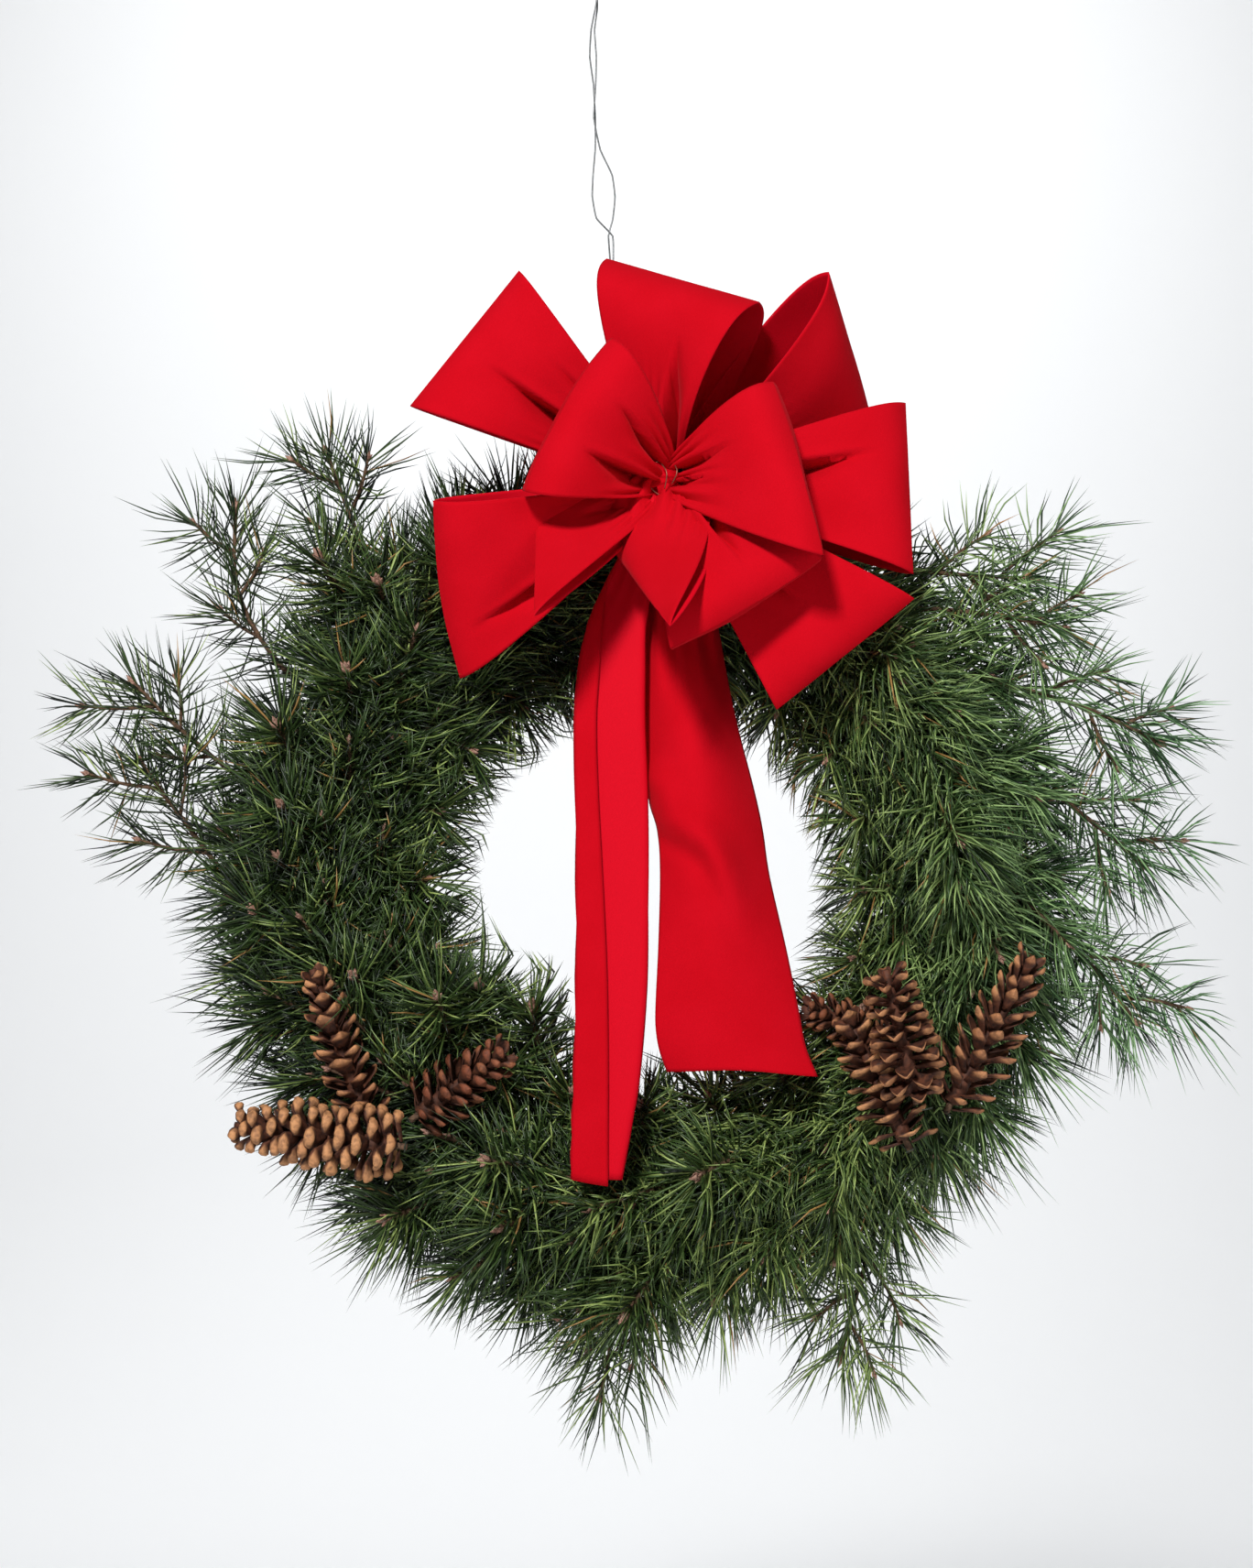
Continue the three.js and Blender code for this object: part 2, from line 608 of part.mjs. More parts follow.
function buildHangingWire() {
  const loopZ = HANG_LOOP_HEIGHT - HANG_LOOP_RADIUS;
  const loop = [-45, -10, 25, 60, 90, 120, 155, 190, 225].map((turn) => new THREE.Vector3(
    HANG_LOOP_X + HANG_LOOP_RADIUS * Math.cos(radians(turn)), HANG_DEPTH,
    loopZ + HANG_LOOP_RADIUS * Math.sin(radians(turn))));
  const up = [...hangingHook(1, HANG_HOOK_SHIFT), ...hangingStrand(1)];
  const down = [...hangingStrand(-1).reverse(), ...hangingHook(-1, -HANG_HOOK_SHIFT).reverse()];
  const points = [...up, ...loop, ...down];
  rods.push(...routeRods(points, HANG_WIRE_RADIUS, points.length - 1));
  addPiece('hanging_wire', tube(points, HANG_WIRE_RADIUS, 8, points.length - 1), COLOURS.galvanised);
}

// A ribbon is a flat box of cloth bent onto a surface. The surface takes the way along the ribbon,
// from 0 to 1, and the way across it, from -1 to 1.
function ribbon(surface, rows, columns) {
  const cloth = new THREE.BoxGeometry(2, 1, RIBBON_THICKNESS, columns, rows, 1);
  const places = cloth.attributes.position;
  const step = 0.002;
  for (let i = 0; i < places.count; i += 1) {
    const along = THREE.MathUtils.clamp(places.getY(i) + 0.5, step, 1 - step);
    const across = THREE.MathUtils.clamp(places.getX(i), -1 + step, 1 - step);
    const place = surface(along, across);
    const lengthways = surface(along + step, across).sub(surface(along - step, across));
    const sideways = surface(along, across + step).sub(surface(along, across - step));
    const outward = sideways.cross(lengthways).normalize();
    place.addScaledVector(outward, places.getZ(i));
    places.setXYZ(i, place.x, place.y, place.z);
  }
  return cloth;
}

function smoothStep(value) {
  const x = THREE.MathUtils.clamp(value, 0, 1);
  return x * x * (3 - 2 * x);
}

function loopSurface(loop) {
  const lean = radians(loop.leans);
  const turn = radians(loop.points);
  const roll = radians(loop.roll);
  const out = new THREE.Vector3(Math.cos(turn), -Math.tan(lean), Math.sin(turn)).normalize();
  const flat = new THREE.Vector3(-Math.sin(turn), 0, Math.cos(turn));
  const face = new THREE.Vector3().crossVectors(out, flat);
  const sideways = flat.clone().multiplyScalar(Math.cos(roll)).addScaledVector(face, Math.sin(roll));
  const forward = face.clone().multiplyScalar(Math.cos(roll)).addScaledVector(flat, -Math.sin(roll));
  return (along, across) => {
    const way = 2 * along - 1;
    const reach = 1 - Math.pow(Math.abs(way), 2.2);
    const opened = smoothStep(reach / SPREAD_BY);
    const width = RIBBON_WIDTH / 2 * THREE.MathUtils.lerp(GATHERED_SHARE, 1, opened);
    const rise = -way * (LOOP_FULLNESS * loop.open * (1 - Math.pow(Math.abs(way), 1.5)) + 3);
    const skewed = Math.tan(radians(loop.skew)) * across * width * reach;
    return new THREE.Vector3(KNOT.x, loop.depth, KNOT.z)
      .addScaledVector(out, loop.length * reach + skewed)
      .addScaledVector(sideways, across * width)
      .addScaledVector(forward, rise);
  };
}

function buildBow() {
  const knot = new THREE.IcosahedronGeometry(1, 1);
  knot.scale(KNOT_SIZE.x, KNOT_SIZE.y, KNOT_SIZE.z);
  knot.translate(KNOT.x, KNOT.y, KNOT.z);
  const loops = LOOPS.map((loop) => ribbon(loopSurface(loop), LOOP_ROWS, LOOP_COLUMNS));
  addPiece('bow_loops', toGeometry(outerSkin(fuse([knot, ...loops]))), COLOURS.velvet);
}

// The bow's wire comes out of the back of the knot and ties it to the ring.
function buildBowWire() {
  const knotBack = new THREE.Vector3(KNOT.x, KNOT.y + KNOT_SIZE.y + TOUCH_GAP, KNOT.z);
  const bend = new THREE.Vector3(KNOT.x, -48, KNOT.z - 6);
  buildTieWire('bow_wire', BOW_WIRE_DEG, [bend, knotBack]);
}

function tailSurface(places) {
  const middlePlaces = places.map(([x, y, z]) => new THREE.Vector3(x, y, z));
  const sections = places.map(([, , z, wide, bulge]) => new THREE.Vector3(wide, bulge, z));
  const middle = new THREE.CatmullRomCurve3(middlePlaces);
  const spread = new THREE.CatmullRomCurve3(sections);
  return (along, across) => {
    const place = middle.getPoint(along);
    const section = spread.getPoint(along);
    place.x += across * section.x;
    place.y -= section.y * (0.5 - Math.pow(Math.abs(across), 1.6));
    return place;
  };
}

function buildTail(name, places) {
  const cloth = ribbon(tailSurface(places), TAIL_ROWS, TAIL_COLUMNS);
  addPiece(name, toGeometry(toSolid(cloth)), COLOURS.velvet);
}

buildRing();
buildBindingWire();
buildHangingWire();
const bundles = [];
for (let index = 0; index < BUNDLES; index += 1) {
  const twigs = bundleTwigs(index);
  bundles.push({ name: numbered('spray', index), twigs, cores: buildCores(twigs) });
}
const cones = CONES.map(buildCone);
cones.forEach(buildConeWire);
buildBow();
buildTail('tail_left', LEFT_TAIL);
buildTail('tail_right', RIGHT_TAIL);
buildBowWire();

bundles.forEach((bundle) => {
  const needles = buildNeedles(bundle);
  addPiece(bundle.name, toGeometry(outerSkin(fuse([...bundle.cores, ...needles]))), COLOURS.pine);
});

export default wreath;
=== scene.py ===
import math

import bpy
import numpy as np
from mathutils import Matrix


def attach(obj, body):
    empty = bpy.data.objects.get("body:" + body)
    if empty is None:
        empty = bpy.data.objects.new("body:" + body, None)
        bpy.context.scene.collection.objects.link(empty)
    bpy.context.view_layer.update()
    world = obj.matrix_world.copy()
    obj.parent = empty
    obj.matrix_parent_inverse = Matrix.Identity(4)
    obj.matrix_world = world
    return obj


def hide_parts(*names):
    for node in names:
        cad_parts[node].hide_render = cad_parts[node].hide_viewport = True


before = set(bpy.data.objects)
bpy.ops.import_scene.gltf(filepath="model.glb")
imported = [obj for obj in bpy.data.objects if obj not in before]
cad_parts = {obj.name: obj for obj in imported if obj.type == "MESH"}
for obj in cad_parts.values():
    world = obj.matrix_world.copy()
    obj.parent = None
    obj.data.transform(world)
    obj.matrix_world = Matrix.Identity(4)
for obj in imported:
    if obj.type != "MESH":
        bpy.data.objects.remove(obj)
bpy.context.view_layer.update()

# The camera stands at the photograph's viewing angle: a little under the wreath's middle, looking
# up at it by 3.2 degrees and rolled by 1.4 degrees.
camera_data = bpy.data.cameras.new("camera")
camera_data.lens = 61.2
camera_data.clip_end = 50
camera = bpy.data.objects.new("camera", camera_data)
camera.location = (0.0306, -1.6596, -0.6212)
camera.rotation_mode = "ZYX"
camera.rotation_euler = (math.radians(93.2), 0, math.radians(1.4))
bpy.context.collection.objects.link(camera)
bpy.context.scene.camera = camera
bpy.context.scene.view_settings.view_transform = "Standard"

# Hanging wire: one length of thin galvanised wire, doubled and loosely twisted, both ends hooked
# round the ring. It is held taut by the hook in its top loop. Places are given from the ring's centre.
ring_centre = np.array([0.0436, 0.0004, -0.59145])
ring_radius_mm = 178
ring_wire_radius = 0.0016
hang_wire_radius = 0.00055
hang_depth = -0.0004
# Both strands, in millimetres: their middle's place across and up, and how far each is off it.
hang_places = [
    (-21.6, 186, 2.6), (-22, 204, 1.2), (-23, 232, 1.2), (-24, 260, 1.2), (-25.5, 288, 1.2),
    (-27, 316, 1.2), (-28.5, 344, 1.2), (-29.5, 370, 1.2), (-30.5, 395, 1.2), (-31.5, 409, 1.4),
    (-35.5, 420, 5.2), (-36.5, 434, 7.2), (-37.5, 448, 6.0), (-41, 464, 1.6), (-43.5, 484, 1.2),
    (-44, 506, 1.8), (-45.5, 524, 2.2), (-46, 541, 1.2), (-44, 556, 1.8), (-43.6, 568, 1.3),
    (-43.6, 576, 2.4),
]


def polar(radius, degrees, depth):
    """A place by its distance from the ring's axis, its angle and its depth, in millimetres."""
    turn = math.radians(degrees)
    return np.array([radius * math.cos(turn), depth, radius * math.sin(turn)]) * 0.001


def smooth_path(points, per_part):
    """Places on the smooth curve through the points, per_part of them from one point to the next."""
    points = np.asarray(points, float)
    p = np.vstack([2 * points[0] - points[1], points, 2 * points[-1] - points[-2]])
    t = np.linspace(0, 1, per_part, endpoint=False)[:, None]
    parts = []
    for a, b, c, d in zip(p[:-3], p[1:-2], p[2:-1], p[3:]):
        parts.append(b + t * (c - a) / 2 + t ** 2 * (a - 2.5 * b + 2 * c - 0.5 * d)
                     + t ** 3 * (1.5 * b - 0.5 * a - 1.5 * c + 0.5 * d))
    return np.vstack(parts + [points[-1:]])


def path_length(places):
    """The length of the line through the places."""
    return float(np.linalg.norm(np.diff(places, axis=0), axis=1).sum())


def unit(vectors):
    """The vectors' directions, each at a length of one."""
    return vectors / np.maximum(np.linalg.norm(vectors, axis=-1, keepdims=True), 1e-12)


def hanging_strand(sense):
    """One strand's places from the ring to the top loop."""
    turn, places = 90, []
    for order, (x, z, apart) in enumerate(hang_places):
        in_lens = 9 < order <= 13
        turn += 0 if in_lens else 47
        angle = 0 if in_lens else math.radians(turn)
        off = 0.001 * sense * apart
        places.append((0.001 * x + off * math.cos(angle), hang_depth + off * math.sin(angle), 0.001 * z))
    return places


def hanging_hook(turns, across):
    """One end's places round the ring's wire."""
    middle = polar(ring_radius_mm, 97, 0)
    return [(middle[0] + across, hook_reach * math.cos(a), middle[2] + hook_reach * math.sin(a))
            for a in map(math.radians, turns)]


hook_reach = 0.00305
top_loop_radius = 0.008
top_loop = [(-0.0436 + top_loop_radius * math.cos(a), hang_depth, 0.584 + top_loop_radius * math.sin(a))
            for a in map(math.radians, (-45, -10, 25, 60, 90, 120, 155, 190, 225))]
hang_route = (hanging_hook((-130, -95, -60, -20, 20, 60), 0.0012) + hanging_strand(1) + top_loop
              + hanging_strand(-1)[::-1] + hanging_hook((310, 275, 240, 200, 160, 120), -0.0012)[::-1])
# Wire bent by hand has kinks, so its line lies between a smooth curve and straight parts.
hang_steps = 6
straight_share = 0.65
hang_smooth = smooth_path(hang_route, hang_steps)
hang_at = np.arange(len(hang_smooth)) / hang_steps
hang_straight = np.stack([np.interp(hang_at, np.arange(len(hang_route)), along)
                          for along in np.array(hang_route).T], -1)
hang_line = (1 - straight_share) * hang_smooth + straight_share * hang_straight + ring_centre
hang_curve = bpy.data.curves.new("hanging_wire", "CURVE")
hang_curve.dimensions = "3D"
hang_curve.bevel_depth = hang_wire_radius
hang_curve.bevel_resolution = 3
hang_curve.use_fill_caps = True
hang_spline = hang_curve.splines.new("POLY")
hang_spline.points.add(len(hang_line) - 1)
hang_spline.points.foreach_set("co", np.column_stack([hang_line, np.ones(len(hang_line))]).ravel())
hanging_wire = bpy.data.objects.new("hanging_wire_drawn", hang_curve)
bpy.context.collection.objects.link(hanging_wire)


def add_node(tree, kind, values=(), **settings):
    """A shader node of this kind, with these settings and these values on its sockets."""
    node = tree.nodes.new("ShaderNode" + kind)
    for name, setting in settings.items():
        setattr(node, name, setting)
    for socket, value in dict(values).items():
        node.inputs[socket].default_value = value
    return node


def join(tree, *wires):
    """Links, each from one node's output to another node's input."""
    for source, output, target, entry in wires:
        tree.links.new(source.outputs[output], target.inputs[entry])


def new_material(name, **values):
    """A material whose shader has these values, with its node tree and its shader."""
    made = bpy.data.materials.new(name)
    made.use_nodes = True
    shader = made.node_tree.nodes["Principled BSDF"]
    for socket, value in values.items():
        shader.inputs[socket.replace("_", " ")].default_value = value
    return made, made.node_tree, shader


# Mottle: uneven wear and growth, shared by the wires, the bark, the buds and the cones. It gives a
# colour between two, and a height for a bump.
mottle = bpy.data.node_groups.new("mottle", "ShaderNodeTree")
for socket, way, kind in (
        ("Low", "INPUT", "Color"), ("High", "INPUT", "Color"), ("Scale", "INPUT", "Float"),
        ("Stretch", "INPUT", "Float"), ("Colour", "OUTPUT", "Color"), ("Height", "OUTPUT", "Float")):
    mottle.interface.new_socket(socket, in_out=way, socket_type="NodeSocket" + kind)
group_in = mottle.nodes.new("NodeGroupInput")
group_out = mottle.nodes.new("NodeGroupOutput")
coords = add_node(mottle, "TexCoord")
grain = add_node(mottle, "TexNoise", {"Detail": 4})
grain_ramp = add_node(mottle, "MapRange", {"From Min": 0.32, "From Max": 0.68})
grain_mix = add_node(mottle, "Mix", data_type="RGBA")
join(mottle, (coords, "Object", grain, "Vector"), (group_in, "Scale", grain, "Scale"),
     (group_in, "Stretch", grain, "Distortion"), (grain, "Fac", grain_ramp, "Value"),
     (grain_ramp, "Result", grain_mix, "Factor"), (group_in, "Low", grain_mix, "A"),
     (group_in, "High", grain_mix, "B"), (grain_mix, "Result", group_out, "Colour"),
     (grain, "Fac", group_out, "Height"))


def add_mottle(tree, shader, low, high, scale, distance, stretch=0.0):
    """The mottle group on a shader's colour and bump. Returns its node."""
    group = add_node(tree, "Group", {"Low": (*low, 1), "High": (*high, 1), "Scale": scale,
                                     "Stretch": stretch}, node_tree=mottle)
    bump = add_node(tree, "Bump", {"Distance": distance})
    join(tree, (group, "Height", bump, "Height"), (bump, "Normal", shader, "Normal"),
         (group, "Colour", shader, "Base Color"))
    return group


galvanised, tree, shader = new_material("galvanised_wire", Metallic=0.9, Roughness=0.42)
add_mottle(tree, shader, (0.10, 0.105, 0.105), (0.26, 0.265, 0.27), 900, 0.0001)
hang_curve.materials.append(galvanised)
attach(hanging_wire, "root")
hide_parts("hanging_wire")

# Ring, binding wire and tie wires: round steel wire, the ring flattened a little at the back where
# it lies against the wall. The binding wire winds round the ring and each bundle's cut end in four
# turns. The cones' florist wires keep their solids, in the same steel.
ring_back = 0.001386
binding_radius = 0.0005
# The corners of a turn of the binding wire: outwards from the ring's wire and forwards, in mm.
wrap_corners = [(-4.8, 3.0), (-1.8, -2.8), (1.8, -2.8), (4.0, 3.0), (0, 9.6)]
wraps_per_bundle = 4
bundle_count = 20
bundle_step = 360 / bundle_count
first_bundle = 105


def ring_faces(count, sides, closed=False):
    """The quads between rings of points, and the triangles over the two end rings."""
    rows = np.arange(count if closed else count - 1)[:, None] * sides
    corner = np.arange(sides)
    beyond = (corner + 1) % sides
    after = (rows + sides) % (count * sides)
    quads = np.stack([rows + corner, rows + beyond, after + beyond, after + corner], -1).reshape(-1, 4)
    fan = np.stack([0 * corner, corner + 1, corner], -1)[1:-1]
    return quads, () if closed else np.vstack([fan, fan[:, [0, 2, 1]] + (count - 1) * sides])


class Shape:
    """The vertices, faces, face materials and point tints of a mesh that is put together in code."""

    def __init__(self):
        self.parts, self.count = [], 0

    def add(self, vertices, quads=(), triangles=(), material=0, tint=(0, 0, 0)):
        vertices = np.asarray(vertices, float).reshape(-1, 3)
        quads = np.asarray(quads, int).reshape(-1, 4) + self.count
        triangles = np.asarray(triangles, int).reshape(-1, 3) + self.count
        tint = np.broadcast_to(tint, (len(vertices), 3))
        self.parts.append((vertices, quads, triangles, material, tint))
        self.count += len(vertices)

    def tube(self, path, radii, sides, material=0, tint=(0, 0, 0), closed=False):
        """A round tube along a path. radii is one number or one for each place."""
        path = np.asarray(path, float)
        radii = np.broadcast_to(radii, len(path))
        along = unit(np.roll(path, -1, axis=0) - np.roll(path, 1, axis=0) if closed
                     else np.gradient(path, axis=0))
        side, across = np.cross(along[0], (0.31, 0.52, 0.79)), []
        for way in along:
            side = unit(side - way * side.dot(way))
            across.append(side)
        up = np.cross(along, across)
        turns = 2 * np.pi * np.arange(sides)[:, None] / sides
        rings = (path[:, None] + radii[:, None, None] * (
            np.array(across)[:, None] * np.cos(turns) + up[:, None] * np.sin(turns)))
        self.add(rings, *ring_faces(len(path), sides, closed), material, tint)

    def make(self, name, materials, solid):
        """The mesh object, placed from the ring's centre, riding on the root in place of its solid."""
        vertices, quads, triangles, tints = (
            np.vstack([part[i] for part in self.parts]) for i in (0, 1, 2, 4))
        face_materials = np.concatenate(
            [np.full(len(part[i]), part[3]) for i in (1, 2) for part in self.parts])
        corners = np.concatenate([quads.ravel(), triangles.ravel()])
        starts = np.concatenate([np.arange(len(quads)) * 4, quads.size + np.arange(len(triangles)) * 3])
        mesh = bpy.data.meshes.new(name)
        mesh.vertices.add(len(vertices))
        mesh.vertices.foreach_set("co", (vertices + ring_centre).ravel())
        mesh.loops.add(len(corners))
        mesh.loops.foreach_set("vertex_index", corners.astype(np.int32))
        mesh.polygons.add(len(starts))
        mesh.polygons.foreach_set("loop_start", starts.astype(np.int32))
        mesh.polygons.foreach_set("material_index", face_materials.astype(np.int32))
        mesh.update(calc_edges=True)
        mesh.shade_smooth()
        colour = mesh.attributes.new("tint", "FLOAT_COLOR", "POINT")
        colour.data.foreach_set("color", np.column_stack([tints, np.ones(len(tints))]).ravel())
        for material in materials:
            mesh.materials.append(material)
        made = bpy.data.objects.new(name, mesh)
        bpy.context.collection.objects.link(made)
        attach(made, "root")
        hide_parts(solid)
        return made


steel, tree, shader = new_material("steel_wire", Metallic=0.8, Roughness=0.5)
add_mottle(tree, shader, (0.035, 0.05, 0.035), (0.11, 0.13, 0.10), 500, 0.0002)
ring_shape = Shape()
ring_line = [polar(ring_radius_mm, degrees, 0) for degrees in np.arange(0, 360, 2)]
ring_shape.tube(ring_line, ring_wire_radius, 12, closed=True)
vertices = ring_shape.parts[0][0]
vertices[:, 1] = np.minimum(vertices[:, 1], ring_back)
ring_shape.make("ring_drawn", [steel], "ring_frame")

binding_places = []
for bundle in range(bundle_count):
    corners = len(wrap_corners) * wraps_per_bundle
    for i in range(corners + 1):
        outward, forward = wrap_corners[i % len(wrap_corners)]
        degrees = first_bundle - bundle_step * bundle + 3 - 6 * i / corners
        binding_places.append(polar(ring_radius_mm + outward, degrees, -forward))
binding_shape = Shape()
binding_shape.tube(smooth_path(binding_places, 4), binding_radius, 6)
binding_shape.make("binding_wire_drawn", [steel], "binding_wire")
for number in range(1, 8):
    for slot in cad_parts["cone_wire_%d" % number].material_slots:
        slot.material = steel

# Pine sprays: twenty bundles of pine, tied clockwise over each other. Each has a woody stem, side
# twigs with buds at their tips, and paired three-sided needles 25 to 54 mm long. Needles bend clear
# of the wall, the hole and the ribbon, and those that would run into a cone are left out.
wrap_front = -12.4
# A bundle's stem and main twigs, by degrees from the bundle's start, radius and depth.
stem_places = [(-4, 178, -2.8), (0, 178, -2.8), (4, 178, -2.8), (12, 180, -12.4), (24, 190, -24),
               (36, 206, -36)]
body_twigs = [
    [(13, 179.5, -13.4), (20, 160, -24), (26, 141, -32)],
    [(18, 184, -18), (26, 184, -38), (33, 190, -58)],
    [(8, 179, -8.5), (14, 208, -16), (20, 246, -24)],
    [(10, 179, -10), (10.5, 214, -28), (12, 248, -42)],
    [(9, 178, -10), (13, 156, -30), (15, 134, -50)],
]
# Each bundle's stray twigs, by their further places: radius, degrees and depth.
stray_twigs = {
    16: [[(252, 151, -34), (304, 146, -42), (340, 139, -40)]],
    17: [[(246, 133, -30), (290, 130, -38), (326, 128, -44)]],
    15: [[(250, 167, -34), (298, 163, -42), (333, 160, -45)]],
    14: [[(246, 182, -30), (286, 173, -40), (314, 168, -44)]],
    1: [[(246, 52, -30), (274, 45, -40), (298, 40, -44)],
        [(240, 46, -38), (272, 38, -48), (296, 33, -52)]],
    2: [[(244, 32, -34), (290, 23, -42), (322, 17, -45)]],
    3: [[(246, 16, -32), (276, 9, -40), (300, 4, -44)]],
    4: [[(250, -5, -32), (282, -10, -40), (306, -14, -44)]],
    7: [[(246, -54, -30), (276, -61, -38), (306, -66, -42)]],
    9: [[(246, -87, -30), (264, -91, -38), (280, -95, -42)]],
}
# Each bundle's shoots that face the viewer, by the place of their bud in millimetres.
facing_droop = 0.08
facing_shoots = {
    17: [(-198, -84, 187), (-163, -86, 173)], 15: [(-220, -82, 86), (-216, -86, 40)],
    14: [(-217, -84, 8), (-230, -78, -23)], 12: [(-121, -84, -72), (-98, -64, -66)],
    10: [(-88, -88, -165), (-80, -82, -204)], 11: [(-146, -80, -200), (-66, -60, -78)],
    9: [(-5, -78, -252)], 8: [(36, -86, -170)], 3: [(184, -84, 31)], 18: [(-120, -70, 190)],
    16: [(-180, -88, 120)], 13: [(-170, -86, -60)],
}
knot = np.array([0.006, -0.094, 0.237])
bow_back = -0.058
bow_reach = 0.158
hole_radius = 0.101
# Each cone: its base, tip and radius in millimetres, and the share of needles that pass before it.
cone_places = [
    ((-163, -80, -139), (-196, -98, -50), 20, 0.18), ((-143, -104, -156), (-243, -92, -147), 23, 0.34),
    ((-130, -76, -139), (-78, -88, -99), 21, 0.30), ((158, -106, -117), (138, -119, -43), 20.5, 0.14),
    ((183, -84, -124), (230, -100, -33), 25, 0.16), ((155, -92, -146), (118, -82, -70), 22, 0.14),
    ((146, -52, -90), (96, -68, -70), 18, 0.2),
]
# Each kind of twig: its radius at root and tip, its share without needles, how far they spread at
# root and tip in degrees, their shortest and longest, how dense they are, and its bud.
twig_kinds = {
    "stem": ((0.0024, 0.0014), 0.5, (74, 40), (0.032, 0.048), 1.0, 0.008),
    "main": ((0.0019, 0.0012), 0.15, (80, 42), (0.032, 0.048), 1.0, 0.008),
    "stray": ((0.0019, 0.0011), 0.30, (76, 40), (0.029, 0.046), 0.34, 0.008),
    "stray side": ((0.0012, 0.0009), 0.1, (84, 42), (0.027, 0.042), 0.46, 0.006),
    "facing": ((0.002, 0.0014), 0.35, (88, 44), (0.036, 0.052), 1.0, 0.011),
    "side": ((0.0017, 0.0011), 0.3, (86, 44), (0.030, 0.046), 0.85, 0.007),
}
golden_angle = 2.39996
needle_radius = 0.00072
needles_per_metre = 3200
tan_share = 0.018


def pressed(place):
    """The place, pressed back if it is behind the bow."""
    place = np.array(place, float)
    standing = place[1] - 0.001 * wrap_front
    if math.hypot(place[0] - knot[0], place[2] - knot[2]) < bow_reach and standing < 0:
        place[1] = 0.001 * wrap_front + 0.6 * standing
    return place


def bent_clear(places):
    """Places on needles, moved out of the wall, the hole, the bow and the tails."""
    x, y, z = np.moveaxis(places, -1, 0)
    radius = np.hypot(x, z)
    lower_left = np.exp(-((np.degrees(np.arctan2(z, x)) + 136) / 16) ** 2)
    inside = np.clip(hole_radius - 0.034 * lower_left - radius, 0, None)
    push = 1 + 0.8 * inside / np.maximum(radius, 0.03)
    x, z = x * push, z * push
    y = np.where(y > 0.0008, 0.0008 + 0.02 * (y - 0.0008), y)
    behind_bow = np.hypot(x - knot[0], z - knot[2]) < bow_reach
    left_tail = (x > -0.050) & (x < 0.010) & (z > -0.180) & (z < knot[2])
    right_tail = (x > 0) & (x < 0.112) & (z > -0.115) & (z < knot[2])
    front = np.where(behind_bow | left_tail | right_tail, bow_back, -1.0)
    y = np.where(y < front, front + 0.15 * (y - front), y)
    return np.stack([x, y, z], -1)


def clear_of_cones(lines, draw):
    """Which needles stay clear of the cones. A few of those that only pass in front of one stay."""
    keep = np.ones(len(lines), bool)
    for base, tip, radius, passed in cone_places:
        base, tip = np.array(base) * 0.001, np.array(tip) * 0.001
        axis = tip - base
        share = np.clip(((lines - base) @ axis) / axis.dot(axis), -0.05, 1)
        apart = lines - (base + share[..., None] * axis)
        near = np.linalg.norm(apart, axis=-1)
        reach = 0.001 * radius * (1 - 0.35 * share ** 2)
        inside = near < 0.82 * reach
        in_front = (np.hypot(apart[..., 0], apart[..., 2]) < 0.9 * reach) & (apart[..., 1] < 0)
        passing = in_front.any(axis=1) & (draw.random(len(lines)) > passed)
        keep &= ~(inside.any(axis=1) | passing)
    return keep


